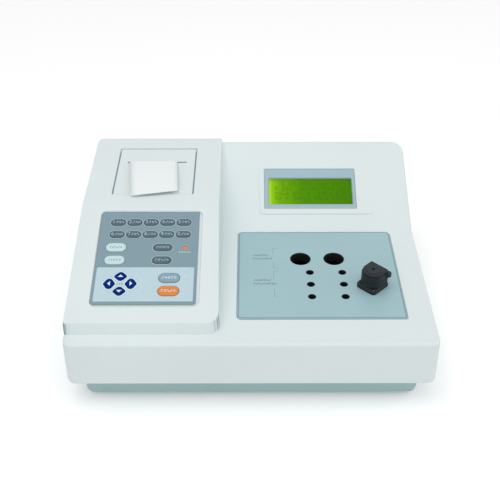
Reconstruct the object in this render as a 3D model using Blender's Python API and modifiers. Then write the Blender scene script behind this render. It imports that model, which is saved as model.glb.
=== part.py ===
"""Bench-top coagulation analyzer, modelled as an assembly of separate parts.

The origin is at the middle of the footprint, on the table. +X is the user's right,
+Y is the back and +Z is up. Everything is in metres.
"""
import math

import bmesh
import bpy
from mathutils import Vector

# Running gap between neighbours, and how far a cutter overruns what it cuts
GAP = 0.0003
OVERRUN = 0.002

# Housing
CASE_WIDTH = 0.300
CASE_DEPTH = 0.250
CASE_BOTTOM = 0.024
CASE_WALL = 0.0025
CASE_LIP = 0.003
CASE_DRAFT = math.radians(0.8)
FRONT_DRAFT = math.radians(1.0)
DECK_RISE = 0.0422
FRONT_CORNER_RADIUS = 0.008
REAR_RIGHT_CORNER_RADIUS = 0.011
REAR_LEFT_CORNER_RADIUS = 0.006
BODY_EDGE_RADIUS = 0.0045
CASE_CEILING = 0.150

# Display slope, which rises behind the deck, and how the deck's spare depth is shared:
# before the cover plate, up to the slope's foot, and up to the display's surround
DISPLAY_SLOPE = math.radians(25.4)
DECK_SPARE_SHARES = (0.3936, 0.0407, 0.1957)

# Raised console on the left, and how its top's spare depth is shared: before the
# keypad, up to the fold in the top, and up to the printer's cover
CONSOLE_WIDTH = 0.1245
CONSOLE_WALL = 0.0028
CONSOLE_SPARE_SHARES = (0.2862, 0.1371, 0.2837)
LEDGE_DEPTH = 0.0131
CONSOLE_FRONT_RISE = 0.0096
CONSOLE_FRONT_LEAN = math.radians(18.4)
STEP_DRAFT = math.radians(4.0)
CONSOLE_CORNER_RADIUS = 0.010
CONSOLE_SIDE_CORNER_RADIUS = 0.006
CONSOLE_EDGE_RADIUS = 0.0032
CONSOLE_ROOT = 0.012
KEY_SLOPE = math.radians(14.5)
PRINTER_SLOPE = math.radians(2.7)

# Screw towers inside the housing
TOWER_RADIUS = 0.0035
TOWER_BORE_RADIUS = 0.0014
TOWER_BORE_DEPTH = 0.012
TOWER_TOP = 0.046
TOWER_SIDE_INSET = 0.0210
TOWER_END_INSET = 0.0230
TOWER_RIB = 0.0025
TOWER_RIB_DEPTH = 0.011

# Lower tray and feet
TRAY_BOTTOM = 0.003
TRAY_SIDE_INSET = 0.0108
TRAY_FRONT_INSET = 0.0093
TRAY_OVERLAP = 0.008
TRAY_WALL = 0.0025
TRAY_DRAFT = math.radians(4.0)
TRAY_CORNER_RADIUS = 0.009
TRAY_EDGE_RADIUS = 0.0035
TRAY_SCREW_RADIUS = 0.0020
FOOT_RADIUS = 0.0075
FOOT_TIP_RADIUS = 0.0065
FOOT_HOLLOW_RADIUS = 0.0022
FOOT_HOLLOW_DEPTH = 0.0012
FOOT_SIDE_INSET = 0.038
FOOT_END_INSET = 0.037

# Keypad on the console's slope
KEYPAD_SIDE_INSET = 0.0635
PANEL_WIDTH = 0.0825
PANEL_LENGTH = 0.0974
PANEL_THICKNESS = 0.0010
PANEL_CORNER_RADIUS = 0.0030
PANEL_BORDER = 0.0032
RECESS_DEPTH = 0.0012
WINDOW_INSET = 0.0030
KEY_STANDING = 0.0007
KEY_TRAVEL = 0.0004
KEY_FLANGE = 0.0007
KEY_FLANGE_THICKNESS = 0.0008
KEY_EDGE_RADIUS = 0.00035
BOARD_THICKNESS = 0.0016
CHIP_HEIGHT = 0.0020

NUMBER_KEY_PITCH = 0.0142
NUMBER_KEY_SPACE = 0.0018
NUMBER_KEY_LENGTH = 0.0072
NUMBER_COLUMNS = 5
SOFT_KEY_SIZE = (0.0170, 0.0092)
FUNCTION_KEY_SIZE = (0.0160, 0.0076)
ENTRY_KEY_SIZE = (0.0174, 0.0098)
ARROW_REACH_X = 0.0092
ARROW_REACH_Y = 0.0079
ARROW_WIDE = (0.0122, 0.0090)
ARROW_TALL = (0.0112, 0.0106)
ARROW_BLUNT_RADIUS = 0.0036
ARROW_SHARP_RADIUS = 0.0014
LEAF_CORNER_SHARE = 1.18
LED_RADIUS = 0.0015
LED_FLANGE_RADIUS = 0.0019
LED_STANDING = 0.0008
LED_DOME_SHARE = 0.7

# Places on the panel, as shares of its width and length from its middle
NUMBER_ROW_SHARES = (0.3912, 0.2505)
FUNCTION_ROW_SHARES = (0.1016, -0.0400)
ENTRY_ROW_SHARES = (-0.2331, -0.3706)
SOFT_KEY_SHARE = -0.3382
FUNCTION_KEY_SHARE = 0.1418
ENTRY_KEY_SHARE = 0.2303
ARROW_CENTRE_SHARES = (-0.2497, -0.2988)
LED_SHARES = (0.3721, 0.0996)
KEYPAD_CHIP_SHARES = ((-0.25, -0.30, 0.26, 0.16), (0.22, 0.05, 0.20, 0.30))

# Display in its raised surround
DISPLAY_OFF_MIDDLE = 0.00615
SURROUND_HEIGHT = 0.0008
SURROUND_WIDTH = 0.1075
SURROUND_LENGTH = 0.0511
SURROUND_SHIFT = (0.0060, -0.0025)
SURROUND_RADIUS = 0.0040
FRAME_WIDTH = 0.0864
FRAME_LENGTH = 0.0446
FRAME_THICKNESS = 0.0012
FRAME_RADIUS = 0.0008
FRAME_SUNK = 0.0003
FRAME_CHAMFER = 0.0007
GLASS_VIEW_WIDTH = 0.0787
GLASS_VIEW_LENGTH = 0.0286
GLASS_SHIFT = (0.0005, -0.0025)
GLASS_COVER = 0.0020
GLASS_THICKNESS = 0.0030
DISPLAY_BOARD_WIDTH = 0.098
DISPLAY_BOARD_LENGTH = 0.060
STANDOFF_RADIUS = 0.0028
STANDOFF_INSET = 0.0040

# Cover plate and heated wells
PLATE_LEFT_MARGIN = 0.0138
PLATE_RIGHT_MARGIN = 0.0227
PLATE_LENGTH = 0.1228
PLATE_THICKNESS = 0.0016
PLATE_STANDING = 0.0007
PLATE_EDGE = 0.0003
PLATE_CORNER_RADIUS = 0.0040
PLATE_FRONT_RIGHT_RADIUS = 0.0015
PLATE_SEAM = 0.0005
LARGE_WELL_RADIUS = 0.00925
LARGE_WELL_DEPTH = 0.030
SMALL_WELL_RADIUS = 0.00357
SMALL_WELL_DEPTH = 0.026
BLOCK_WALL = 0.0044
BLOCK_HEIGHT = 0.038
BLOCK_EDGE = 0.0010
FOAM_THICKNESS = 0.0060
FOAM_HEIGHT_SHARE = 0.8

# Places on the cover plate: along its width as shares of it, leftward from the right
# column of small wells, and along its length as shares of it from its middle
WELLS_TO_PORT = 0.0242
LARGE_WELL_SHARES_X = (0.2547, 0.0424)
LARGE_WELL_SHARE_Y = 0.1596
SMALL_WELL_SHARES_X = (0.2022, 0.0)
SMALL_WELL_SHARES_Y = (-0.0008, -0.1360, -0.2712)
PORT_SHARE_Y = -0.1287

# Measuring port and its optics
PORT_SIDE_INSET = 0.0241
PORT_BASE_REACH = 0.0150
PORT_BASE_THICKNESS = 0.0038
PORT_LUG_RADIUS = 0.0032
PORT_BODY_REACH = 0.0122
PORT_BODY_HEIGHT = 0.0084
PORT_ROUND_RADIUS = 0.0084
PORT_CORNER_RADIUS = 0.0008
PORT_BORE_RADIUS = 0.0046
PORT_CAP_HEIGHT = 0.0068
PORT_CAP_RIM = 0.0006
PORT_CAP_RIM_HEIGHT = 0.0022
PORT_CAP_EDGE = 0.0007
PORT_SPIGOT_DEPTH = 0.0030
PORT_TIP_RADIUS = 0.00125
PORT_TAB_REACH = 0.0162
PORT_TAB_WIDTH = 0.0074
PORT_TAB_HEIGHT = 0.0032
PORT_TAB_RADIUS = 0.0022
PORT_SCREW_REACH = 0.0114
PORT_SCREW_HEAD_RADIUS = 0.0018
PORT_SCREW_HEAD_HEIGHT = 0.0012
PORT_SCREW_SHANK_RADIUS = 0.0009
PORT_SCREW_SLOT = 0.0005
OPTICS_WIDTH = 0.0200
OPTICS_LENGTH = 0.0300
OPTICS_HEIGHT = 0.0280
OPTICS_BEAM_RADIUS = 0.0012
OPTICS_BEAM_DROP = 0.018
SENSOR_RADIUS = 0.0025
SENSOR_LENGTH = 0.0060

# Printer under its flush cover
COVER_SIDE_INSET = 0.0617
COVER_WIDTH = 0.0709
COVER_LENGTH = 0.0757
COVER_THICKNESS = 0.0020
COVER_SIDE_GAP = 0.0014
COVER_END_GAP = 0.0004
COVER_RIB = 0.0015
COVER_RIB_DROP = 0.0016
COVER_RIB_INSET = 0.0060
COVER_EDGE_RADIUS = 0.0004
HINGE_RADIUS = 0.0020
HINGE_BORE_RADIUS = 0.0011
HINGE_PIN_RADIUS = 0.0008
SLOT_PLACE = 0.0138
SLOT_WIDTH = 0.0557
SLOT_HEIGHT = 0.0022
BIN_DEPTH = 0.0480
BIN_WALL = 0.0008
BIN_END_WALL = 0.0010
BIN_FLANGE = 0.0030
BIN_FLANGE_REACH = 0.0032
BIN_TOP = -0.0046
EAR_LENGTH = 0.0060
EAR_SUNK = 0.0006
ROLL_RADIUS = 0.0195
ROLL_PLACE = (-0.0150, -0.0255)
PAPER_WIDTH = 0.0445
PAPER_THICKNESS = 0.0003
SPINDLE_RADIUS = 0.0060
SPINDLE_HUB = 0.0520
JOURNAL_RADIUS = 0.0025
PLATEN_RADIUS = 0.0040
PLATEN_PLACE = (0.0094, -0.0097)
PLATEN_WIDTH = 0.0480
SHAFT_RADIUS = 0.0015
GEAR_MODULE = 0.0005
GEAR_THICKNESS = 0.0030
GEAR_PLACE = -0.0315
PLATEN_TEETH = 20
MOTOR_TEETH = 12
GEAR_BACKLASH = 0.00025
TIP_SHARE = 0.75
ROOT_SHARE = 1.1
TIP_WIDTH_SHARE = 0.10
ROOT_WIDTH_SHARE = 0.26
GEAR_LINE_ANGLE = math.radians(-28.0)
MOTOR_RADIUS = 0.0070
MOTOR_LENGTH = 0.0140
MOTOR_SHAFT_RADIUS = 0.0010
MOTOR_SHAFT_ENTRY = 0.0040
HEAD_THICKNESS = 0.0030
HEAD_DROP = 0.0170
HEAD_TOP = -0.0055

# Paper that hangs out of the slot
STRIP_START = -0.0040
STRIP_REST = 0.0006
STRIP_REACH_LEFT = 0.0520
STRIP_REACH_RIGHT = 0.0454
STRIP_LIFT_LEFT = 0.0030
STRIP_LIFT_RIGHT = 0.0075
STRIP_SHIFT = -0.0031
STRIP_SKEW = 0.0052
STRIP_NARROWING = 0.0025
STRIP_TURN_RADIUS = 0.0028
STRIP_RISE_SHARE = 0.12
STRIP_TURN_SHARE = 0.30
STRIP_COLUMNS = 5
STRIP_ROWS = 24

# Boards and supply on the tray
MAIN_BOARD_CLEARANCE = 0.0045
MAIN_BOARD_OFF_MIDDLE = 0.0230
MAIN_BOARD_FRONT_INSET = 0.0410
MAIN_BOARD_REAR_INSET = 0.0770
MAIN_BOARD_RISE = 0.0060
MAIN_BOARD_INSET = 0.0050
MAIN_CHIP_SHARES = ((-0.15, 0.10, 0.28, 0.20, 1.0), (0.25, -0.20, 0.16, 0.12, 1.5),
                    (-0.30, -0.34, 0.10, 0.10, 3.0), (0.30, 0.30, 0.14, 0.22, 1.2))
POST_RADIUS = 0.0030
SUPPLY_SIZE = (0.0980, 0.0560, 0.0300)
SUPPLY_SIDE_INSET = 0.0800
SUPPLY_END_INSET = 0.0610
SUPPLY_EDGE = 0.0015

# Connectors on the back wall
BACK_POCKET_DEPTH = 0.0015
BACK_POCKET_MARGIN = 0.0060
BACK_POCKET_HEIGHT = 0.0340
BACK_POCKET_RADIUS = 0.0030
CONNECTOR_LEVEL = 0.0520
CONNECTOR_FLANGE = 0.0012
INLET_SIDE_INSET = 0.0460
INLET_FLANGE = (0.0300, 0.0230)
INLET_BODY = (0.0260, 0.0180)
INLET_DEPTH = 0.0170
INLET_SOCKET = (0.0220, 0.0140)
INLET_SOCKET_DEPTH = 0.0140
INLET_PIN = (0.0020, 0.0040)
INLET_PIN_LENGTH = 0.0110
INLET_PIN_SPREAD = 0.0070
INLET_PIN_RAISE = 0.0030
INLET_CHAMFER = 0.0035
INLET_CORNER_RADIUS = 0.0020
SWITCH_SIDE_INSET = 0.0800
SWITCH_FLANGE = (0.0210, 0.0240)
SWITCH_BODY = (0.0170, 0.0200)
SWITCH_DEPTH = 0.0140
SWITCH_WELL = (0.0135, 0.0165)
SWITCH_WELL_DEPTH = 0.0110
ROCKER_PIVOT_DEPTH = 0.0060
ROCKER_SWING = math.radians(7.0)
ROCKER_PIN_RADIUS = 0.0010
ROCKER_FACE = 0.0050
ROCKER_DISH = 0.0010
ROCKER_HALF = 0.0070
ROCKER_BACK = 0.0030
ROCKER_BACK_HALF = 0.0045
SERIAL_SIDE_INSET = 0.1160
SERIAL_FLANGE = (0.0300, 0.0120)
SERIAL_SHELL = (0.0180, 0.0086)
SERIAL_TAPER = 0.0012
SERIAL_DEPTH = 0.0100
SERIAL_CAVITY_DEPTH = 0.0050
SERIAL_WALL = 0.0008
VENT_COUNT = 9
VENT_PITCH = 0.0060
VENT_WIDTH = 0.0026
VENT_HEIGHT = 0.0220
VENT_SIDE_INSET = 0.0600
VENT_LEVEL = 0.0600

CORNER_STEPS = 4
ROUND_STEPS = 6
EDGE_SEGMENTS = 3
FINE_SIDES = 32
PLAIN_SIDES = 16
SMALL_SIDES = 12
SMOOTH_ANGLE = math.radians(32)
MERGE_DISTANCE = 0.00001
ROUND_END_SHARE = 0.999
TOP_FACE_SHARE = 0.5

# Levels and lines that follow from the sizes above
HALF_WIDTH = CASE_WIDTH / 2
HALF_DEPTH = CASE_DEPTH / 2
DECK_LEVEL = CASE_BOTTOM + DECK_RISE
STEP_X = -HALF_WIDTH + CONSOLE_WIDTH
CONSOLE_FRONT_Y = -HALF_DEPTH + LEDGE_DEPTH
CONSOLE_TOP_FRONT_Y = CONSOLE_FRONT_Y + CONSOLE_FRONT_RISE * math.tan(CONSOLE_FRONT_LEAN)
CONSOLE_TOP_FRONT_Z = DECK_LEVEL + CONSOLE_FRONT_RISE
TRAY_TOP = CASE_BOTTOM + TRAY_OVERLAP
TRAY_FLOOR = TRAY_BOTTOM + TRAY_WALL
TOWER_X = HALF_WIDTH - TOWER_SIDE_INSET
TOWER_Y = HALF_DEPTH - TOWER_END_INSET

# Down the console: the keypad, the fold in its top and the printer's cover
PANEL_RUN = PANEL_LENGTH * math.cos(KEY_SLOPE)
COVER_RUN = COVER_LENGTH * math.cos(PRINTER_SLOPE)
CONSOLE_SPARE = HALF_DEPTH - CONSOLE_TOP_FRONT_Y - PANEL_RUN - COVER_RUN
KEYPAD_Y = CONSOLE_TOP_FRONT_Y + CONSOLE_SPARE * CONSOLE_SPARE_SHARES[0] + PANEL_RUN / 2
FOLD_Y = KEYPAD_Y + PANEL_RUN / 2 + CONSOLE_SPARE * CONSOLE_SPARE_SHARES[1]
COVER_Y = FOLD_Y + CONSOLE_SPARE * CONSOLE_SPARE_SHARES[2] + COVER_RUN / 2
KEYPAD_Z = CONSOLE_TOP_FRONT_Z + (KEYPAD_Y - CONSOLE_TOP_FRONT_Y) * math.tan(KEY_SLOPE)
FOLD_Z = CONSOLE_TOP_FRONT_Z + (FOLD_Y - CONSOLE_TOP_FRONT_Y) * math.tan(KEY_SLOPE)
COVER_Z = FOLD_Z + (COVER_Y - FOLD_Y) * math.tan(PRINTER_SLOPE)

# Down the deck: the cover plate, the foot of the display slope and the display
SURROUND_RUN = SURROUND_LENGTH * math.cos(DISPLAY_SLOPE)
DECK_SPARE = CASE_DEPTH - PLATE_LENGTH - SURROUND_RUN
PLATE_Y = -HALF_DEPTH + DECK_SPARE * DECK_SPARE_SHARES[0] + PLATE_LENGTH / 2
DISPLAY_FOOT_Y = PLATE_Y + PLATE_LENGTH / 2 + DECK_SPARE * DECK_SPARE_SHARES[1]
DISPLAY_Y = (DISPLAY_FOOT_Y + DECK_SPARE * DECK_SPARE_SHARES[2] + SURROUND_RUN / 2
             - SURROUND_SHIFT[1] * math.cos(DISPLAY_SLOPE))
DISPLAY_Z = DECK_LEVEL + (DISPLAY_Y - DISPLAY_FOOT_Y) * math.tan(DISPLAY_SLOPE)

# Across the case
KEYPAD_X = -HALF_WIDTH + KEYPAD_SIDE_INSET
COVER_X = -HALF_WIDTH + COVER_SIDE_INSET
DISPLAY_X = (STEP_X + HALF_WIDTH) / 2 - DISPLAY_OFF_MIDDLE
PLATE_LEFT = STEP_X + PLATE_LEFT_MARGIN
PLATE_RIGHT = HALF_WIDTH - PLATE_RIGHT_MARGIN
PLATE_WIDTH = PLATE_RIGHT - PLATE_LEFT
MAIN_BOARD_LEFT = -TOWER_X + TOWER_RADIUS + MAIN_BOARD_CLEARANCE
MAIN_BOARD_RIGHT = -MAIN_BOARD_OFF_MIDDLE
MAIN_BOARD_FRONT = -HALF_DEPTH + MAIN_BOARD_FRONT_INSET
MAIN_BOARD_BACK = HALF_DEPTH - MAIN_BOARD_REAR_INSET
INLET_X = HALF_WIDTH - INLET_SIDE_INSET
SWITCH_X = HALF_WIDTH - SWITCH_SIDE_INSET
SERIAL_X = HALF_WIDTH - SERIAL_SIDE_INSET
VENT_X = -HALF_WIDTH + VENT_SIDE_INSET

# The wells, the port and the heated block round them
PORT_X = PLATE_RIGHT - PORT_SIDE_INSET
PORT_Y = PLATE_Y + PORT_SHARE_Y * PLATE_LENGTH
WELLS_RIGHT = PORT_X - WELLS_TO_PORT
LARGE_WELLS_X = [WELLS_RIGHT - share * PLATE_WIDTH for share in LARGE_WELL_SHARES_X]
LARGE_WELLS_Y = PLATE_Y + LARGE_WELL_SHARE_Y * PLATE_LENGTH
SMALL_WELLS_X = [WELLS_RIGHT - share * PLATE_WIDTH for share in SMALL_WELL_SHARES_X]
SMALL_WELLS_Y = [PLATE_Y + share * PLATE_LENGTH for share in SMALL_WELL_SHARES_Y]
BLOCK_LEFT = min(LARGE_WELLS_X) - LARGE_WELL_RADIUS - BLOCK_WALL
BLOCK_RIGHT = PORT_X + OPTICS_WIDTH / 2 + BLOCK_WALL
BLOCK_FRONT = min(SMALL_WELLS_Y) - SMALL_WELL_RADIUS - BLOCK_WALL
BLOCK_BACK = LARGE_WELLS_Y + LARGE_WELL_RADIUS + BLOCK_WALL


def clear_scene():
    for item in list(bpy.data.objects):
        bpy.data.objects.remove(item, do_unlink=True)


def make_collection(name):
    collection = bpy.data.collections.new(name)
    bpy.context.scene.collection.children.link(collection)
    return collection


clear_scene()
PARTS = make_collection("coagulation_analyzer")
CUTTERS = make_collection("cutters")


def make_material(name, colour, roughness, metallic=0.0):
    """Return a Principled material with one base colour."""
    material = bpy.data.materials.new(name)
    material.use_nodes = True
    shader = material.node_tree.nodes["Principled BSDF"]
    shader.inputs["Base Color"].default_value = (*colour, 1.0)
    shader.inputs["Roughness"].default_value = roughness
    shader.inputs["Metallic"].default_value = metallic
    return material


HOUSING_WHITE = make_material("housing_white", (0.76, 0.80, 0.80), 0.42)
TRAY_GREY = make_material("tray_grey", (0.28, 0.38, 0.40), 0.50)
RUBBER_BLACK = make_material("rubber_black", (0.02, 0.02, 0.02), 0.85)
PANEL_GREY = make_material("panel_grey", (0.25, 0.34, 0.38), 0.45)
PLATE_BLUE = make_material("plate_blue", (0.34, 0.50, 0.54), 0.45)
FRAME_BLUE = make_material("frame_blue", (0.33, 0.48, 0.54), 0.45)
GLASS_GREEN = make_material("glass_green", (0.12, 0.34, 0.02), 0.20)
PORT_BLACK = make_material("port_black", (0.03, 0.03, 0.035), 0.45)
METAL_BLOCK = make_material("metal_block", (0.75, 0.75, 0.75), 0.35, 1.0)
STEEL = make_material("steel", (0.60, 0.60, 0.62), 0.30, 1.0)
SUPPLY_METAL = make_material("supply_metal", (0.55, 0.56, 0.57), 0.40, 1.0)
FOAM_WHITE = make_material("foam_white", (0.80, 0.80, 0.78), 0.90)
BOARD_GREEN = make_material("board_green", (0.03, 0.20, 0.08), 0.50)
PAPER_WHITE = make_material("paper_white", (0.82, 0.86, 0.86), 0.80)
PLASTIC_BLACK = make_material("plastic_black", (0.03, 0.03, 0.03), 0.50)
GEAR_WHITE = make_material("gear_white", (0.75, 0.75, 0.70), 0.50)
KEY_DARK = make_material("key_dark", (0.10, 0.15, 0.18), 0.45)
KEY_PALE = make_material("key_pale", (0.60, 0.75, 0.78), 0.45)
KEY_BLUE = make_material("key_blue", (0.01, 0.05, 0.24), 0.40)
KEY_GREY = make_material("key_grey", (0.35, 0.47, 0.52), 0.45)
KEY_ORANGE = make_material("key_orange", (0.75, 0.30, 0.09), 0.45)
LED_RED = make_material("led_red", (0.70, 0.08, 0.03), 0.25)


def finish_mesh(obj):
    """Shade round faces smooth and keep the real edges sharp."""
    obj.data.shade_smooth()
    obj.data.set_sharp_from_angle(angle=SMOOTH_ANGLE)


def add_mesh(name, bm, material=None, parent=None, location=(0, 0, 0)):
    """Turn a bmesh into a named part, or into a hidden cutter where it has no material."""
    bmesh.ops.recalc_face_normals(bm, faces=bm.faces)
    mesh = bpy.data.meshes.new(name)
    bm.to_mesh(mesh)
    bm.free()
    obj = bpy.data.objects.new(name, mesh)
    obj.parent = parent
    obj.location = location
    if material is None:
        CUTTERS.objects.link(obj)
        obj.hide_render = True
        obj.display_type = "WIRE"
        return obj
    PARTS.objects.link(obj)
    mesh.materials.append(material)
    finish_mesh(obj)
    return obj


def boolean(obj, other, operation):
    modifier = obj.modifiers.new(other.name, "BOOLEAN")
    modifier.operation = operation
    modifier.object = other
    modifier.solver = "EXACT"


def cut(obj, *cutters):
    for cutter in cutters:
        boolean(obj, cutter, "DIFFERENCE")


def join(obj, *others):
    for other in others:
        boolean(obj, other, "UNION")


def bake(obj):
    """Replace an object's mesh by what its modifiers make of it."""
    bpy.context.view_layer.update()
    evaluated = obj.evaluated_get(bpy.context.evaluated_depsgraph_get())
    mesh = bpy.data.meshes.new_from_object(evaluated)
    obj.modifiers.clear()
    obj.data = mesh


def slope_frame(name, x, y, z, slope):
    """Return an empty whose own X and Y lie in a sloped face."""
    frame = bpy.data.objects.new(name, None)
    frame.location = (x, y, z)
    frame.rotation_euler = (slope, 0, 0)
    PARTS.objects.link(frame)
    return frame


def rounded_outline(corners, steps=CORNER_STEPS):
    """Round the corners of a polygon, given as (x, y, radius), counterclockwise.

    Returns pairs of a point and its outward direction.
    """
    outline = []
    count = len(corners)
    for index, (x, y, radius) in enumerate(corners):
        corner = Vector((x, y))
        before = Vector(corners[index - 1][:2])
        after = Vector(corners[(index + 1) % count][:2])
        inward = (corner - before).normalized()
        onward = (after - corner).normalized()
        turn = math.atan2(inward.cross(onward), inward.dot(onward))
        side = math.copysign(1, turn)
        outward = Vector((inward.y, -inward.x))
        centre = corner - inward * radius * math.tan(abs(turn) / 2) - outward * radius * side
        arc_steps = steps if radius > 0 else 0
        for step in range(arc_steps + 1):
            part = step / arc_steps if arc_steps else 0.5
            angle = turn * part
            direction = Vector((
                outward.x * math.cos(angle) - outward.y * math.sin(angle),
                outward.x * math.sin(angle) + outward.y * math.cos(angle),
            ))
            outline.append((centre + direction * radius * side, direction))
    return outline


def rectangle(width, length, radius=0, centre=(0, 0), steps=CORNER_STEPS):
    x, y = centre
    half_x, half_y = width / 2, length / 2
    return rounded_outline([
        (x - half_x, y - half_y, radius),
        (x + half_x, y - half_y, radius),
        (x + half_x, y + half_y, radius),
        (x - half_x, y + half_y, radius),
    ], steps)


def pill(width, length, centre=(0, 0)):
    """Return a long shape with fully round ends."""
    return rectangle(width, length, min(width, length) / 2 * ROUND_END_SHARE, centre)


def circle(radius, centre=(0, 0), sides=PLAIN_SIDES):
    x, y = centre
    outline = []
    for index in range(sides):
        angle = 2 * math.pi * index / sides
        direction = Vector((math.cos(angle), math.sin(angle)))
        outline.append((Vector((x, y)) + direction * radius, direction))
    return outline


AXES = {
    "Z": lambda u, v, w: (u, v, w),
    "X": lambda u, v, w: (w, u, v),
    "Y": lambda u, v, w: (u, w, v),
}


def stack(outline, rings, axis="Z", into=None, leans=None):
    """Join copies of an outline at rising levels, each grown by its own amount.

    rings are pairs of (growth, level). leans moves a point further along its direction.
    """
    bm = into if into is not None else bmesh.new()
    place = AXES[axis]
    loops = []
    for growth, level in rings:
        loop = []
        for point, direction in outline:
            u, v = point + direction * growth
            if leans is not None:
                shift_u, shift_v = leans(direction, level)
                u, v = u + shift_u, v + shift_v
            loop.append(bm.verts.new(place(u, v, level)))
        loops.append(loop)
    bm.faces.new(list(reversed(loops[0])))
    bm.faces.new(loops[-1])
    for lower, upper in zip(loops, loops[1:]):
        for index in range(len(outline)):
            after = (index + 1) % len(outline)
            bm.faces.new((lower[index], lower[after], upper[after], upper[index]))
    return bm


def prism(outline, low, high, axis="Z", into=None, leans=None):
    return stack(outline, [(0, low), (0, high)], axis, into, leans)


def box(low, high, into=None):
    """Return a box between two corners."""
    (x0, y0, z0), (x1, y1, z1) = low, high
    outline = rectangle(x1 - x0, y1 - y0, centre=((x0 + x1) / 2, (y0 + y1) / 2))
    return prism(outline, z0, z1, into=into)


def bevel_edges(bm, edges, radius, segments=EDGE_SEGMENTS):
    bmesh.ops.bevel(
        bm, geom=list(edges), offset=radius, segments=segments, profile=0.5,
        affect="EDGES", clamp_overlap=True,
    )


def rim_edges(bm, upward=True):
    """Return the edges between the walls and the faces that look up, or down."""
    sign = 1 if upward else -1
    bmesh.ops.recalc_face_normals(bm, faces=bm.faces)
    found = []
    for edge in bm.edges:
        if len(edge.link_faces) != 2:
            continue
        levels = sorted(face.normal.z * sign for face in edge.link_faces)
        if levels[1] > TOP_FACE_SHARE and abs(levels[0]) < TOP_FACE_SHARE:
            found.append(edge)
    return found


def edit_mesh(obj, change):
    """Run one bmesh function over an object's own mesh."""
    bm = bmesh.new()
    bm.from_mesh(obj.data)
    change(bm)
    bm.to_mesh(obj.data)
    bm.free()


def turned(name, profile, material=None, parent=None, location=(0, 0, 0),
           rotation=(0, 0, 0), sides=PLAIN_SIDES, ring=False):
    """Turn a profile that runs down its outer side; a ring's profile closes on itself."""
    bm = bmesh.new()
    points = [bm.verts.new((radius, 0, level)) for radius, level in profile]
    for first, second in zip(points, points[1:]):
        bm.edges.new((first, second))
    if ring:
        bm.edges.new((points[-1], points[0]))
    obj = add_mesh(name, bm, material, parent, location)
    obj.rotation_euler = rotation
    screw = obj.modifiers.new("turn", "SCREW")
    screw.axis = "Z"
    screw.steps = sides
    screw.render_steps = sides
    screw.use_merge_vertices = True
    screw.merge_threshold = MERGE_DISTANCE
    screw.use_smooth_shade = True
    return obj


# The housing's outer and inner forms share these functions

def body_top(inset):
    """Return the side line of the deck and the display slope, lowered by an inset."""
    rise = math.tan(DISPLAY_SLOPE)
    deck = DECK_LEVEL - inset
    drop = inset / math.cos(DISPLAY_SLOPE)
    fold_y = DISPLAY_FOOT_Y + (drop - inset) / rise
    back_y = HALF_DEPTH + OVERRUN
    back_z = DECK_LEVEL + (back_y - DISPLAY_FOOT_Y) * rise - drop
    return [(-HALF_DEPTH - OVERRUN, deck), (fold_y, deck), (back_y, back_z)]


def console_top(inset):
    """Return the side line of the key slope and the printer slope, lowered by an inset."""
    key_rise, back_rise = math.tan(KEY_SLOPE), math.tan(PRINTER_SLOPE)
    key_drop, back_drop = inset / math.cos(KEY_SLOPE), inset / math.cos(PRINTER_SLOPE)
    fold_y = FOLD_Y - (key_drop - back_drop) / (back_rise - key_rise)
    fold_z = FOLD_Z + (fold_y - FOLD_Y) * key_rise - key_drop
    front_y, back_y = -HALF_DEPTH - OVERRUN, HALF_DEPTH + OVERRUN
    front_z = FOLD_Z + (front_y - FOLD_Y) * key_rise - key_drop
    back_z = FOLD_Z + (back_y - FOLD_Y) * back_rise - back_drop
    return [(front_y, front_z), (fold_y, fold_z), (back_y, back_z)]


def air_above(name, line):
    """Return a cutter that takes everything above a side line."""
    corners = [(y, z, 0) for y, z in line]
    corners += [(line[-1][0], CASE_CEILING + OVERRUN, 0), (line[0][0], CASE_CEILING + OVERRUN, 0)]
    reach = HALF_WIDTH + OVERRUN
    return add_mesh(name, prism(rounded_outline(corners), -reach, reach, axis="X"))


def body_plan(inset):
    half_x, half_y = HALF_WIDTH - inset, HALF_DEPTH - inset
    return rounded_outline([
        (-half_x, -half_y, FRONT_CORNER_RADIUS - inset),
        (half_x, -half_y, FRONT_CORNER_RADIUS - inset),
        (half_x, half_y, REAR_RIGHT_CORNER_RADIUS - inset),
        (-half_x, half_y, REAR_LEFT_CORNER_RADIUS - inset),
    ])


def console_plan(inset):
    left, back = -HALF_WIDTH + inset, HALF_DEPTH - inset
    right, front = STEP_X - inset, CONSOLE_FRONT_Y + inset
    return rounded_outline([
        (left, front, CONSOLE_SIDE_CORNER_RADIUS - inset),
        (right, front, CONSOLE_CORNER_RADIUS - inset),
        (right, back, CONSOLE_EDGE_RADIUS),
        (left, back, REAR_LEFT_CORNER_RADIUS - inset),
    ])


def body_leans(direction, level):
    """Lean the front wall back as it rises."""
    fall = math.tan(FRONT_DRAFT) * (level - CASE_BOTTOM)
    return 0, max(0, -direction.y) * fall


def console_leans(direction, level):
    """Lean the step wall and the console's front wall, from the deck up."""
    height = level - DECK_LEVEL
    shift_x = -max(0, direction.x) * math.tan(STEP_DRAFT) * height
    shift_y = max(0, -direction.y) * math.tan(CONSOLE_FRONT_LEAN) * height
    return shift_x, shift_y


def draft_sides(bm):
    """Draw the side walls in as they rise, as a mould needs."""
    fall = math.tan(CASE_DRAFT) / HALF_WIDTH
    for vert in bm.verts:
        vert.co.x *= 1 - fall * (vert.co.z - CASE_BOTTOM)


def body_form(name, inset, low, material=None):
    """Return the full-width block under the deck and the display slope."""
    bm = prism(body_plan(inset), low, CASE_CEILING, leans=body_leans)
    block = add_mesh(name, bm, material)
    cut(block, air_above(name + "_air", body_top(inset)))
    bake(block)
    return block


def console_form(name, inset, low, material=None):
    """Return the raised block of the console."""
    bm = prism(console_plan(inset), low, CASE_CEILING, leans=console_leans)
    block = add_mesh(name, bm, material)
    cut(block, air_above(name + "_air", console_top(inset)))
    bake(block)
    return block


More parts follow.
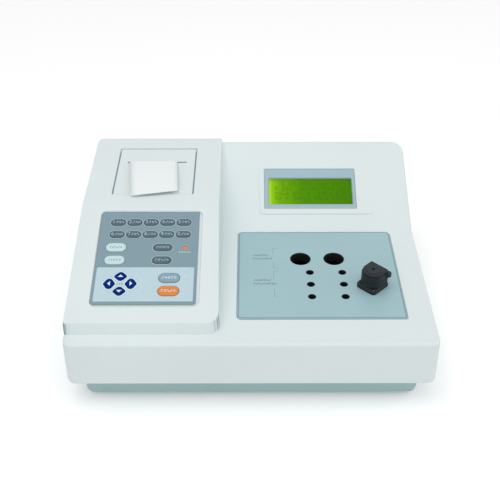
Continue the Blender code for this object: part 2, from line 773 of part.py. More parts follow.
KEYPAD = slope_frame("keypad_frame", KEYPAD_X, KEYPAD_Y, KEYPAD_Z, KEY_SLOPE)
PRINTER = slope_frame("printer_frame_axis", COVER_X, COVER_Y, COVER_Z, PRINTER_SLOPE)
DISPLAY = slope_frame("display_frame_axis", DISPLAY_X, DISPLAY_Y, DISPLAY_Z, DISPLAY_SLOPE)

# Heights over the sloped faces, which lie at zero in their own frames
PANEL_UNDERSIDE = -RECESS_DEPTH + GAP
PANEL_TOP = PANEL_UNDERSIDE + PANEL_THICKNESS
FLANGE_TOP = PANEL_UNDERSIDE - GAP
KEY_BOTTOM = FLANGE_TOP - KEY_FLANGE_THICKNESS
KEYPAD_BOARD_TOP = min(KEY_BOTTOM - 2 * KEY_TRAVEL, -CONSOLE_WALL - GAP)
FRAME_FLOOR = SURROUND_HEIGHT - FRAME_SUNK - FRAME_THICKNESS - GAP
GLASS_TOP = FRAME_FLOOR
GLASS_BOTTOM = GLASS_TOP - GLASS_THICKNESS
DISPLAY_BOARD_TOP = GLASS_BOTTOM - GAP
PLATE_TOP = DECK_LEVEL + PLATE_STANDING
PLATE_BOTTOM = PLATE_TOP - PLATE_THICKNESS
BLOCK_TOP = PLATE_BOTTOM - GAP
BLOCK_BOTTOM = BLOCK_TOP - BLOCK_HEIGHT
BIN_OUTER_X = COVER_WIDTH / 2 + COVER_SIDE_GAP - GAP
BIN_OUTER_Y = COVER_LENGTH / 2 + COVER_END_GAP - GAP
FLANGE_LEVEL = -CONSOLE_WALL - GAP
HINGE_Y = COVER_LENGTH / 2 - HINGE_RADIUS
HINGE_Z = -HINGE_RADIUS
BACK_FACE = HALF_DEPTH - BACK_POCKET_DEPTH + GAP
STRIP_Y = SLOT_PLACE + PAPER_THICKNESS / 2


def make_towers():
    """Return the screw towers with the ribs that tie them to the side walls."""
    low = TRAY_FLOOR + GAP
    towers = bmesh.new()
    ribs = bmesh.new()
    bores = bmesh.new()
    for side_x in (-1, 1):
        for side_y in (-1, 1):
            x, y = side_x * TOWER_X, side_y * TOWER_Y
            prism(circle(TOWER_RADIUS, (x, y), SMALL_SIDES), low, TOWER_TOP, into=towers)
            prism(circle(TOWER_BORE_RADIUS, (x, y), SMALL_SIDES),
                  low - OVERRUN, low + TOWER_BORE_DEPTH, into=bores)
            reach = side_x * (HALF_WIDTH - CASE_WALL / 2)
            box((min(x, reach), y - TOWER_RIB / 2, TOWER_TOP - TOWER_RIB_DEPTH),
                (max(x, reach), y + TOWER_RIB / 2, TOWER_TOP - GAP), into=ribs)
    return (add_mesh("case_towers", towers), add_mesh("case_ribs", ribs),
            add_mesh("case_bores", bores))


def make_standoffs():
    """Return the four posts behind the display slope that the display board hangs on."""
    bm = bmesh.new()
    half_x = DISPLAY_BOARD_WIDTH / 2 - STANDOFF_INSET
    half_y = DISPLAY_BOARD_LENGTH / 2 - STANDOFF_INSET
    for x in (-half_x, half_x):
        for y in (-half_y, half_y):
            prism(circle(STANDOFF_RADIUS, (x, y), SMALL_SIDES),
                  DISPLAY_BOARD_TOP + GAP, -CASE_WALL / 2, into=bm)
    return add_mesh("case_standoffs", bm, parent=DISPLAY)


def keypad_openings():
    recess = prism(rectangle(PANEL_WIDTH + 2 * PANEL_BORDER, PANEL_LENGTH + 2 * PANEL_BORDER,
                             PANEL_CORNER_RADIUS + PANEL_BORDER), -RECESS_DEPTH, OVERRUN)
    window = prism(rectangle(PANEL_WIDTH - 2 * WINDOW_INSET, PANEL_LENGTH - 2 * WINDOW_INSET),
                   -CONSOLE_WALL - OVERRUN, OVERRUN)
    return (add_mesh("keypad_recess", recess, parent=KEYPAD),
            add_mesh("keypad_window", window, parent=KEYPAD))


def printer_opening():
    outline = rectangle(COVER_WIDTH + 2 * COVER_SIDE_GAP, COVER_LENGTH + 2 * COVER_END_GAP)
    return add_mesh("printer_opening", prism(outline, -CONSOLE_WALL - OVERRUN, OVERRUN),
                    parent=PRINTER)


def display_openings():
    pocket = prism(rectangle(FRAME_WIDTH + 2 * GAP, FRAME_LENGTH + 2 * GAP, FRAME_RADIUS + GAP),
                   FRAME_FLOOR, SURROUND_HEIGHT + OVERRUN)
    window = prism(rectangle(GLASS_VIEW_WIDTH + 2 * (GLASS_COVER + GAP),
                             GLASS_VIEW_LENGTH + 2 * (GLASS_COVER + GAP), centre=GLASS_SHIFT),
                   -CASE_WALL - OVERRUN, OVERRUN)
    return (add_mesh("display_pocket", pocket, parent=DISPLAY),
            add_mesh("display_window", window, parent=DISPLAY))


def plate_outline(grow):
    """Return the cover plate's outline; its front right corner is the tightest."""
    left, right = PLATE_LEFT - grow, PLATE_RIGHT + grow
    front, back = (PLATE_Y + side * (PLATE_LENGTH / 2 + grow) for side in (-1, 1))
    return rounded_outline([
        (left, front, PLATE_CORNER_RADIUS + grow),
        (right, front, PLATE_FRONT_RIGHT_RADIUS + grow),
        (right, back, PLATE_CORNER_RADIUS + grow),
        (left, back, PLATE_CORNER_RADIUS + grow),
    ])


def deck_openings():
    pocket = prism(plate_outline(PLATE_SEAM), PLATE_BOTTOM - GAP, DECK_LEVEL + OVERRUN)
    opening = box((BLOCK_LEFT - PLATE_SEAM, BLOCK_FRONT - PLATE_SEAM, DECK_LEVEL - 2 * CASE_WALL),
                  (BLOCK_RIGHT + PLATE_SEAM, BLOCK_BACK + PLATE_SEAM, DECK_LEVEL + OVERRUN))
    return add_mesh("plate_pocket", pocket), add_mesh("block_opening", opening)


def back_openings():
    """Return the connector pocket, the connectors' holes and the vents."""
    left = SERIAL_X - SERIAL_FLANGE[0] / 2 - BACK_POCKET_MARGIN
    right = INLET_X + INLET_FLANGE[0] / 2 + BACK_POCKET_MARGIN
    pocket = prism(rectangle(right - left, BACK_POCKET_HEIGHT, BACK_POCKET_RADIUS,
                             ((left + right) / 2, CONNECTOR_LEVEL)),
                   HALF_DEPTH - BACK_POCKET_DEPTH, HALF_DEPTH + OVERRUN, axis="Y")
    holes = bmesh.new()
    low, high = HALF_DEPTH - CASE_WALL - OVERRUN, HALF_DEPTH + OVERRUN
    for x, (width, height) in ((INLET_X, INLET_BODY), (SWITCH_X, SWITCH_BODY),
                               (SERIAL_X, SERIAL_SHELL)):
        outline = rectangle(width + 2 * GAP, height + 2 * GAP, centre=(x, CONNECTOR_LEVEL))
        prism(outline, low, high, axis="Y", into=holes)
    for index in range(VENT_COUNT):
        x = VENT_X + (index - (VENT_COUNT - 1) / 2) * VENT_PITCH
        prism(pill(VENT_WIDTH, VENT_HEIGHT, (x, VENT_LEVEL)), low, high, axis="Y", into=holes)
    return add_mesh("back_pocket", pocket), add_mesh("back_holes", holes)


def board_corners():
    """Return the places of the main board's four posts."""
    return [(x, y) for x in (MAIN_BOARD_LEFT + MAIN_BOARD_INSET,
                             MAIN_BOARD_RIGHT - MAIN_BOARD_INSET)
            for y in (MAIN_BOARD_FRONT + MAIN_BOARD_INSET, MAIN_BOARD_BACK - MAIN_BOARD_INSET)]


def tray_plan(grow):
    half_x = HALF_WIDTH - TRAY_SIDE_INSET + grow
    half_y = HALF_DEPTH - TRAY_FRONT_INSET + grow
    return rectangle(2 * half_x, 2 * half_y, TRAY_CORNER_RADIUS + grow)


def make_upper_case():
    """Model the moulded housing: two blended blocks, hollowed, with every opening."""
    body = body_form("upper_case", 0, CASE_BOTTOM, HOUSING_WHITE)

    def round_body(bm):
        rims = rim_edges(bm) + rim_edges(bm, upward=False)
        bevel_edges(bm, rims, BODY_EDGE_RADIUS)

    edit_mesh(body, round_body)
    console = console_form("console_block", 0, CASE_BOTTOM + CONSOLE_ROOT)
    edit_mesh(console, lambda bm: bevel_edges(bm, rim_edges(bm), CONSOLE_EDGE_RADIUS))
    surround = prism(rectangle(SURROUND_WIDTH, SURROUND_LENGTH, SURROUND_RADIUS, SURROUND_SHIFT),
                     -CASE_WALL / 2, SURROUND_HEIGHT)
    join(body, console, add_mesh("display_surround", surround, parent=DISPLAY))
    bake(body)
    edit_mesh(body, draft_sides)

    floor = CASE_BOTTOM + CASE_LIP
    hollow = body_form("case_hollow", CASE_WALL, floor)
    attic = console_form("console_hollow", CONSOLE_WALL, floor)
    for inner in (hollow, attic):
        edit_mesh(inner, draft_sides)
    mouth = add_mesh("case_mouth", prism(tray_plan(GAP), CASE_BOTTOM - OVERRUN, floor + OVERRUN))
    cut(body, hollow, attic, mouth)
    towers, ribs, bores = make_towers()
    join(body, towers, ribs, make_standoffs())
    cut(body, bores, *keypad_openings(), printer_opening(), *display_openings(),
        *deck_openings(), *back_openings())
    bake(body)
    finish_mesh(body)


def make_base_tray():
    """Model the lower tray: drawn walls, a rounded bottom edge and the board's posts."""
    fall = math.tan(TRAY_DRAFT) * (CASE_BOTTOM - TRAY_BOTTOM)
    rings = []
    for step in range(EDGE_SEGMENTS + 1):
        angle = math.pi / 2 * step / EDGE_SEGMENTS
        rings.append((-fall - TRAY_EDGE_RADIUS * (1 - math.sin(angle)),
                      TRAY_BOTTOM + TRAY_EDGE_RADIUS * (1 - math.cos(angle))))
    rings += [(0, CASE_BOTTOM), (0, TRAY_TOP)]
    tray = add_mesh("base_tray", stack(tray_plan(0), rings), TRAY_GREY)
    hollow = [(-fall - TRAY_WALL, TRAY_FLOOR), (-TRAY_WALL, CASE_BOTTOM),
              (-TRAY_WALL, TRAY_TOP + OVERRUN)]
    cut(tray, add_mesh("tray_hollow", stack(tray_plan(0), hollow)))
    posts = bmesh.new()
    for x, y in board_corners():
        prism(circle(POST_RADIUS, (x, y), SMALL_SIDES),
              TRAY_BOTTOM + TRAY_WALL / 2, TRAY_FLOOR + MAIN_BOARD_RISE, into=posts)
    join(tray, add_mesh("tray_posts", posts))
    holes = bmesh.new()
    for x in (-TOWER_X, TOWER_X):
        for y in (-TOWER_Y, TOWER_Y):
            prism(circle(TRAY_SCREW_RADIUS, (x, y), SMALL_SIDES),
                  TRAY_BOTTOM - OVERRUN, TRAY_FLOOR + OVERRUN, into=holes)
    cut(tray, add_mesh("tray_holes", holes))


def make_feet():
    top = TRAY_BOTTOM - GAP
    profile = [
        (0, top), (FOOT_RADIUS, top), (FOOT_TIP_RADIUS, 0),
        (FOOT_HOLLOW_RADIUS, 0), (FOOT_HOLLOW_RADIUS, FOOT_HOLLOW_DEPTH),
        (0, FOOT_HOLLOW_DEPTH),
    ]
    reach_x, reach_y = HALF_WIDTH - FOOT_SIDE_INSET, HALF_DEPTH - FOOT_END_INSET
    for end, y in (("front", -reach_y), ("rear", reach_y)):
        for side, x in (("left", -reach_x), ("right", reach_x)):
            turned(f"foot_{end}_{side}", profile, RUBBER_BLACK, location=(x, y, 0))


# Keypad: the panel, the keys under it and their board

def on_panel(share_x, share_y):
    return share_x * PANEL_WIDTH, share_y * PANEL_LENGTH


def key_shapes():
    """Return each key's name, outline and material, in the keypad's own frame."""
    shapes = []
    for row, share in enumerate(NUMBER_ROW_SHARES):
        for column in range(NUMBER_COLUMNS):
            x = (column - (NUMBER_COLUMNS - 1) / 2) * NUMBER_KEY_PITCH
            outline = pill(NUMBER_KEY_PITCH - NUMBER_KEY_SPACE, NUMBER_KEY_LENGTH,
                           (x, share * PANEL_LENGTH))
            shapes.append((f"key_{row * NUMBER_COLUMNS + column}", outline, KEY_DARK))
    for name, share in zip(("upper", "lower"), FUNCTION_ROW_SHARES):
        shapes.append((f"key_left_{name}",
                       pill(*SOFT_KEY_SIZE, on_panel(SOFT_KEY_SHARE, share)), KEY_PALE))
        shapes.append((f"key_right_{name}",
                       pill(*FUNCTION_KEY_SIZE, on_panel(FUNCTION_KEY_SHARE, share)), KEY_DARK))
    for name, share, material in zip(("menu", "enter"), ENTRY_ROW_SHARES,
                                     (KEY_GREY, KEY_ORANGE)):
        shapes.append((f"key_{name}",
                       pill(*ENTRY_KEY_SIZE, on_panel(ENTRY_KEY_SHARE, share)), material))
    x0, y0 = on_panel(*ARROW_CENTRE_SHARES)
    for name, x, y, size in (("up", x0, y0 + ARROW_REACH_Y, ARROW_WIDE),
                             ("down", x0, y0 - ARROW_REACH_Y, ARROW_WIDE),
                             ("left", x0 - ARROW_REACH_X, y0, ARROW_TALL),
                             ("right", x0 + ARROW_REACH_X, y0, ARROW_TALL)):
        shapes.append((f"key_arrow_{name}", leaf(*size, (x, y)), KEY_BLUE))
    return shapes


def leaf(width, length, centre):
    """Return a soft diamond, blunt at the top and bottom and sharper at the sides."""
    x, y = centre
    half_x, half_y = width / 2 * LEAF_CORNER_SHARE, length / 2 * LEAF_CORNER_SHARE
    return rounded_outline([
        (x - half_x, y, ARROW_SHARP_RADIUS),
        (x, y - half_y, ARROW_BLUNT_RADIUS),
        (x + half_x, y, ARROW_SHARP_RADIUS),
        (x, y + half_y, ARROW_BLUNT_RADIUS),
    ])


def make_keypad():
    panel = add_mesh("keypad_panel", prism(rectangle(PANEL_WIDTH, PANEL_LENGTH,
                                                     PANEL_CORNER_RADIUS),
                                           PANEL_UNDERSIDE, PANEL_TOP), PANEL_GREY, KEYPAD)
    holes = bmesh.new()
    key_top = PANEL_TOP + KEY_STANDING
    rings = [(KEY_FLANGE, KEY_BOTTOM), (KEY_FLANGE, FLANGE_TOP), (0, FLANGE_TOP),
             (0, key_top - KEY_EDGE_RADIUS), (-KEY_EDGE_RADIUS, key_top)]
    for name, outline, material in key_shapes():
        add_mesh(name, stack(outline, rings), material, KEYPAD)
        stack(outline, [(GAP, PANEL_UNDERSIDE - OVERRUN), (GAP, PANEL_TOP + OVERRUN)],
              into=holes)
    led_place = on_panel(*LED_SHARES)
    prism(circle(LED_RADIUS + GAP, led_place, SMALL_SIDES),
          PANEL_UNDERSIDE - OVERRUN, PANEL_TOP + OVERRUN, into=holes)
    cut(panel, add_mesh("panel_holes", holes, parent=KEYPAD))
    led_top = PANEL_TOP + LED_STANDING
    turned("status_led", [
        (0, led_top), (LED_RADIUS * LED_DOME_SHARE, led_top - LED_RADIUS * (1 - LED_DOME_SHARE)),
        (LED_RADIUS, led_top - LED_RADIUS * LED_DOME_SHARE),
        (LED_RADIUS, FLANGE_TOP), (LED_FLANGE_RADIUS, FLANGE_TOP),
        (LED_FLANGE_RADIUS, KEYPAD_BOARD_TOP + GAP), (0, KEYPAD_BOARD_TOP + GAP),
    ], LED_RED, KEYPAD, (*led_place, 0), sides=SMALL_SIDES)
    board_low = KEYPAD_BOARD_TOP - BOARD_THICKNESS
    board = add_mesh("keypad_board", prism(rectangle(PANEL_WIDTH, PANEL_LENGTH),
                                           board_low, KEYPAD_BOARD_TOP), BOARD_GREEN, KEYPAD)
    chips = bmesh.new()
    for share_x, share_y, width, length in KEYPAD_CHIP_SHARES:
        x, y = on_panel(share_x, share_y)
        half_x, half_y = width * PANEL_WIDTH / 2, length * PANEL_LENGTH / 2
        box((x - half_x, y - half_y, board_low - CHIP_HEIGHT),
            (x + half_x, y + half_y, board_low + BOARD_THICKNESS / 2), into=chips)
    join(board, add_mesh("keypad_chips", chips, parent=KEYPAD))


# Display

def make_display():
    low = FRAME_FLOOR + GAP
    high = low + FRAME_THICKNESS
    frame = add_mesh("display_frame", prism(rectangle(FRAME_WIDTH, FRAME_LENGTH, FRAME_RADIUS),
                                            low, high), FRAME_BLUE, DISPLAY)
    view = rectangle(GLASS_VIEW_WIDTH, GLASS_VIEW_LENGTH, FRAME_RADIUS, GLASS_SHIFT)
    cut(frame, add_mesh("frame_view", stack(view, [
        (0, low - OVERRUN), (0, low), (FRAME_CHAMFER, high), (FRAME_CHAMFER, high + OVERRUN),
    ]), parent=DISPLAY))
    glass = rectangle(GLASS_VIEW_WIDTH + 2 * GLASS_COVER, GLASS_VIEW_LENGTH + 2 * GLASS_COVER,
                      centre=GLASS_SHIFT)
    add_mesh("display_glass", prism(glass, GLASS_BOTTOM, GLASS_TOP), GLASS_GREEN, DISPLAY)
    outline = rectangle(DISPLAY_BOARD_WIDTH, DISPLAY_BOARD_LENGTH)
    add_mesh("display_board", prism(outline, DISPLAY_BOARD_TOP - BOARD_THICKNESS,
                                    DISPLAY_BOARD_TOP), BOARD_GREEN, DISPLAY)


# Heated wells under the cover plate

def well_places():
    """Return the place, radius and depth of every well."""
    wells = [(x, LARGE_WELLS_Y, LARGE_WELL_RADIUS, LARGE_WELL_DEPTH) for x in LARGE_WELLS_X]
    wells += [(x, y, SMALL_WELL_RADIUS, SMALL_WELL_DEPTH)
              for x in SMALL_WELLS_X for y in SMALL_WELLS_Y]
    return wells


def well_sides(radius):
    return FINE_SIDES if radius > PORT_BORE_RADIUS else PLAIN_SIDES


def port_screw_places():
    return {"left": (PORT_X - PORT_SCREW_REACH, PORT_Y),
            "front": (PORT_X, PORT_Y - PORT_SCREW_REACH)}


def make_well_plate():
    plate = add_mesh("well_plate", stack(plate_outline(0), [
        (0, PLATE_BOTTOM), (0, PLATE_TOP - PLATE_EDGE), (-PLATE_EDGE, PLATE_TOP),
    ]), PLATE_BLUE)
    holes = bmesh.new()
    low, high = PLATE_BOTTOM - OVERRUN, PLATE_TOP + OVERRUN
    for x, y, radius, _ in well_places():
        prism(circle(radius, (x, y), well_sides(radius)), low, high, into=holes)
    prism(circle(PORT_BORE_RADIUS, (PORT_X, PORT_Y)), low, high, into=holes)
    for place in port_screw_places().values():
        prism(circle(PORT_SCREW_SHANK_RADIUS + GAP, place, SMALL_SIDES), low, high, into=holes)
    cut(plate, add_mesh("plate_holes", holes))


def make_heater_block():
    bm = box((BLOCK_LEFT, BLOCK_FRONT, BLOCK_BOTTOM), (BLOCK_RIGHT, BLOCK_BACK, BLOCK_TOP))
    bevel_edges(bm, rim_edges(bm), BLOCK_EDGE, 1)
    block = add_mesh("heater_block", bm, METAL_BLOCK)
    bores = bmesh.new()
    for x, y, radius, depth in well_places():
        prism(circle(radius, (x, y), well_sides(radius)),
              BLOCK_TOP - depth, BLOCK_TOP + OVERRUN, into=bores)
    prism(rectangle(OPTICS_WIDTH + 2 * GAP, OPTICS_LENGTH + 2 * GAP, centre=(PORT_X, PORT_Y)),
          BLOCK_TOP - OPTICS_HEIGHT - GAP, BLOCK_TOP + OVERRUN, into=bores)
    cut(block, add_mesh("block_bores", bores))
    foam_top = BLOCK_BOTTOM + BLOCK_HEIGHT * FOAM_HEIGHT_SHARE
    foam = add_mesh("block_insulation", box(
        (BLOCK_LEFT - FOAM_THICKNESS, BLOCK_FRONT - FOAM_THICKNESS,
         BLOCK_BOTTOM - FOAM_THICKNESS),
        (BLOCK_RIGHT + FOAM_THICKNESS, BLOCK_BACK + FOAM_THICKNESS, foam_top)), FOAM_WHITE)
    cut(foam, add_mesh("foam_pocket", box(
        (BLOCK_LEFT - GAP, BLOCK_FRONT - GAP, BLOCK_BOTTOM - GAP),
        (BLOCK_RIGHT + GAP, BLOCK_BACK + GAP, foam_top + OVERRUN))))


# Measuring port

def diamond(reach, sharp_radius, round_radius):
    """Return a square on its corner, with its left and front corners rounded off more."""
    return rounded_outline([
        (0, -reach, round_radius),
        (reach, 0, sharp_radius),
        (0, reach, sharp_radius),
        (-reach, 0, round_radius),
    ], ROUND_STEPS)


def make_port():
    foot = PLATE_TOP + GAP
    base = add_mesh("port_base", stack(
        diamond(PORT_BASE_REACH, PORT_CORNER_RADIUS, PORT_LUG_RADIUS),
        [(0, 0), (0, PORT_BASE_THICKNESS - PORT_CAP_EDGE), (-PORT_CAP_EDGE, PORT_BASE_THICKNESS)],
    ), PORT_BLACK, location=(PORT_X, PORT_Y, foot))
    body_outline = diamond(PORT_BODY_REACH, PORT_CORNER_RADIUS, PORT_ROUND_RADIUS)
    body = add_mesh("port_body", prism(body_outline, PORT_BASE_THICKNESS / 2, PORT_BODY_HEIGHT),
                    location=base.location)
    bores = prism(circle(PORT_BORE_RADIUS), -OVERRUN, PORT_BODY_HEIGHT + OVERRUN)
    for x, y in port_screw_places().values():
        prism(circle(PORT_SCREW_SHANK_RADIUS + GAP, (x - PORT_X, y - PORT_Y), SMALL_SIDES),
              -OVERRUN, PORT_BASE_THICKNESS + OVERRUN, into=bores)
    join(base, body)
    cut(base, add_mesh("port_bores", bores, location=base.location))

    seat = foot + PORT_BODY_HEIGHT + GAP
    cap = add_mesh("port_cap", stack(body_outline, [
        (PORT_CAP_RIM, 0), (PORT_CAP_RIM, PORT_CAP_RIM_HEIGHT), (0, PORT_CAP_RIM_HEIGHT),
        (0, PORT_CAP_HEIGHT - PORT_CAP_EDGE), (-PORT_CAP_EDGE, PORT_CAP_HEIGHT),
    ]), PORT_BLACK, location=(PORT_X, PORT_Y, seat))
    inner_x = PORT_BODY_REACH / 2
    tab = rounded_outline([
        (inner_x, -PORT_TAB_WIDTH / 2, 0),
        (PORT_TAB_REACH, -PORT_TAB_WIDTH / 2, PORT_TAB_RADIUS),
        (PORT_TAB_REACH, PORT_TAB_WIDTH / 2, PORT_TAB_RADIUS),
        (inner_x, PORT_TAB_WIDTH / 2, 0),
    ])
    spigot = prism(circle(PORT_BORE_RADIUS - GAP), -PORT_SPIGOT_DEPTH, PORT_CAP_RIM_HEIGHT / 2)
    tip = prism(circle(PORT_TIP_RADIUS, sides=SMALL_SIDES),
                -PORT_SPIGOT_DEPTH - OVERRUN, PORT_CAP_HEIGHT + OVERRUN)
    join(cap, add_mesh("cap_tab", prism(tab, PORT_CAP_RIM_HEIGHT / 4, PORT_TAB_HEIGHT),
                       location=cap.location),
         add_mesh("cap_spigot", spigot, location=cap.location))
    cut(cap, add_mesh("cap_tip", tip, location=cap.location))
    for side, (x, y) in port_screw_places().items():
        make_port_screw(f"port_screw_{side}", (x, y, foot + PORT_BASE_THICKNESS + GAP))


def make_port_screw(name, place):
    shank_end = PLATE_BOTTOM + GAP - place[2]
    screw = turned(name, [
        (0, PORT_SCREW_HEAD_HEIGHT), (PORT_SCREW_HEAD_RADIUS / 2, PORT_SCREW_HEAD_HEIGHT),
        (PORT_SCREW_HEAD_RADIUS, PORT_SCREW_HEAD_HEIGHT / 2), (PORT_SCREW_HEAD_RADIUS, 0),
        (PORT_SCREW_SHANK_RADIUS, 0), (PORT_SCREW_SHANK_RADIUS, shank_end), (0, shank_end),
    ], STEEL, location=place, sides=SMALL_SIDES)
    half, reach = PORT_SCREW_SLOT / 2, PORT_SCREW_HEAD_RADIUS / 2
    slots = [box((-a, -b, PORT_SCREW_HEAD_HEIGHT / 2), (a, b, PORT_SCREW_HEAD_HEIGHT + OVERRUN))
             for a, b in ((half, reach), (reach, half))]
    for index, slot in enumerate(slots):
        cut(screw, add_mesh(f"{name}_slot_{index}", slot, location=place))


def make_optics():
    low = BLOCK_TOP - OPTICS_HEIGHT
    beam = BLOCK_TOP - OPTICS_BEAM_DROP
    half_x, half_y = OPTICS_WIDTH / 2, OPTICS_LENGTH / 2
    optics = add_mesh("optics_block", box((PORT_X - half_x, PORT_Y - half_y, low),
                                          (PORT_X + half_x, PORT_Y + half_y, BLOCK_TOP)),
                      PLASTIC_BLACK)
    well = prism(circle(PORT_BORE_RADIUS - GAP, (PORT_X, PORT_Y)),
                 low + CASE_LIP, BLOCK_TOP + OVERRUN)
    light = prism(circle(OPTICS_BEAM_RADIUS, (PORT_X, beam), SMALL_SIDES),
                  PORT_Y - half_y - OVERRUN, PORT_Y + half_y + OVERRUN, axis="Y")
    seats = bmesh.new()
    for side in (-1, 1):
        face = PORT_Y + side * half_y
        floor = face - side * (SENSOR_LENGTH + GAP)
        over = face + side * OVERRUN
        prism(circle(SENSOR_RADIUS + GAP, (PORT_X, beam)), min(floor, over), max(floor, over),
              axis="Y", into=seats)
    cut(optics, add_mesh("optics_well", well), add_mesh("optics_beam", light),
        add_mesh("optics_seats", seats))
    for name, side in (("light_source", -1), ("photodetector", 1)):
        face = PORT_Y + side * half_y
        floor = face - side * SENSOR_LENGTH
        add_mesh(name, prism(circle(SENSOR_RADIUS, (PORT_X, beam)), min(floor, face),
                             max(floor, face), axis="Y"), STEEL)


# Printer

def make_printer_cover():
    """Model the flush cover: a plate that ends in its hinge barrel, a slot and two ribs."""
    front = -COVER_LENGTH / 2
    outline = [(Vector((front, 0)), Vector((-1, 0))),
               (Vector((front, -COVER_THICKNESS)), Vector((-1, 0)))]
    steps = 3 * CORNER_STEPS
    for step in range(steps + 1):
        angle = math.pi + 1.5 * math.pi * step / steps
        direction = Vector((math.cos(angle), math.sin(angle)))
        outline.append((Vector((HINGE_Y, HINGE_Z)) + direction * HINGE_RADIUS, direction))
    half = COVER_WIDTH / 2
    bm = prism(outline, -half, half, axis="X")
    rims = [edge for edge in rim_edges(bm) if all(abs(vert.co.z) < GAP for vert in edge.verts)
            and abs(edge.verts[0].co.y - HINGE_Y) > GAP]
    bevel_edges(bm, rims, COVER_EDGE_RADIUS, 1)
    bmesh.ops.remove_doubles(bm, verts=bm.verts, dist=MERGE_DISTANCE)
    cover = add_mesh("printer_cover", bm, HOUSING_WHITE, PRINTER)
    ribs = bmesh.new()
    for side in (-1, 1):
        x = side * (half - COVER_RIB_INSET)
        box((x - COVER_RIB / 2, front + COVER_RIB_INSET, -COVER_THICKNESS - COVER_RIB_DROP),
            (x + COVER_RIB / 2, HINGE_Y - COVER_RIB_INSET, -COVER_THICKNESS / 2), into=ribs)
    join(cover, add_mesh("cover_ribs", ribs, parent=PRINTER))
    slot = rectangle(SLOT_WIDTH, SLOT_HEIGHT, centre=(0, SLOT_PLACE))
    bore = prism(circle(HINGE_BORE_RADIUS, (HINGE_Y, HINGE_Z), SMALL_SIDES),
                 -half - OVERRUN, half + OVERRUN, axis="X")
    cut(cover, add_mesh("cover_slot", prism(slot, -COVER_THICKNESS - OVERRUN, OVERRUN),
                        parent=PRINTER), add_mesh("cover_bore", bore, parent=PRINTER))
    reach = BIN_OUTER_X - GAP
    add_mesh("cover_hinge_pin", prism(circle(HINGE_PIN_RADIUS, (HINGE_Y, HINGE_Z), SMALL_SIDES),
                                      -reach, reach, axis="X"), STEEL, PRINTER)


def make_printer_frame():
    """Model the paper bin: flanges under the console, ears at the hinge, bearing holes."""
    y, wide = BIN_OUTER_Y, BIN_OUTER_Y + BIN_FLANGE_REACH
    notch = BIN_OUTER_Y + BIN_FLANGE_REACH / 4
    low, flange_low = -BIN_DEPTH, BIN_TOP - BIN_FLANGE
    side = [(y, low), (y, flange_low), (wide, flange_low), (wide, FLANGE_LEVEL),
            (notch, FLANGE_LEVEL), (notch, BIN_TOP)]
    corners = [(u, v, 0) for u, v in side] + [(-u, v, 0) for u, v in reversed(side)]
    frame = add_mesh("printer_frame", prism(rounded_outline(corners), -BIN_OUTER_X, BIN_OUTER_X,
                                            axis="X"), STEEL, PRINTER)
    inner_x, inner_y = BIN_OUTER_X - BIN_WALL, BIN_OUTER_Y - BIN_END_WALL
    hollow = box((-inner_x, -inner_y, low + BIN_END_WALL), (inner_x, inner_y, OVERRUN))
    cut(frame, add_mesh("bin_hollow", hollow, parent=PRINTER))
    ears = bmesh.new()
    for side in (-1, 1):
        inner, outer = side * inner_x, side * BIN_OUTER_X
        box((min(inner, outer), HINGE_Y - EAR_LENGTH / 2, flange_low),
            (max(inner, outer), HINGE_Y + EAR_LENGTH / 2 - EAR_SUNK, -EAR_SUNK), into=ears)
    join(frame, add_mesh("bin_ears", ears, parent=PRINTER))
    reach = BIN_OUTER_X + OVERRUN
    holes = bmesh.new()
    for (place_y, place_z), radius in (((HINGE_Y, HINGE_Z), HINGE_PIN_RADIUS),
                                       (ROLL_PLACE, JOURNAL_RADIUS),
                                       (PLATEN_PLACE, SHAFT_RADIUS)):
        prism(circle(radius + GAP, (place_y, place_z), SMALL_SIDES), -reach, reach,
              axis="X", into=holes)
    prism(circle(MOTOR_SHAFT_RADIUS + GAP, motor_place(), SMALL_SIDES), -reach,
          -BIN_OUTER_X + OVERRUN, axis="X", into=holes)
    cut(frame, add_mesh("bin_holes", holes, parent=PRINTER))


def motor_place():
    """Return the motor shaft's place, where its gear meshes with the platen's."""
    y, z = PLATEN_PLACE
    distance = GEAR_MODULE * (PLATEN_TEETH + MOTOR_TEETH) / 2 + GEAR_BACKLASH
    return (y + distance * math.cos(GEAR_LINE_ANGLE), z + distance * math.sin(GEAR_LINE_ANGLE))


def gear_outline(teeth, centre, first_tooth):
    """Return a spur gear's outline, with a tooth centred on the angle first_tooth."""
    y, z = centre
    pitch_radius = GEAR_MODULE * teeth / 2
    tip, root = (pitch_radius + GEAR_MODULE * TIP_SHARE, pitch_radius - GEAR_MODULE * ROOT_SHARE)
    step = 2 * math.pi / teeth
    outline = []
    for tooth in range(teeth):
        middle = first_tooth + tooth * step
        for offset, radius in ((-ROOT_WIDTH_SHARE, root), (-TIP_WIDTH_SHARE, tip),
                               (TIP_WIDTH_SHARE, tip), (ROOT_WIDTH_SHARE, root)):
            angle = middle + offset * step
            direction = Vector((math.cos(angle), math.sin(angle)))
            outline.append((Vector((y, z)) + direction * radius, direction))
    return outline


def spindle_profile(hub_radius, hub_width, journal_radius):
    reach = BIN_OUTER_X - GAP
    half = hub_width / 2
    return [(0, reach), (journal_radius, reach), (journal_radius, half), (hub_radius, half),
            (hub_radius, -half), (journal_radius, -half), (journal_radius, -reach), (0, -reach)]


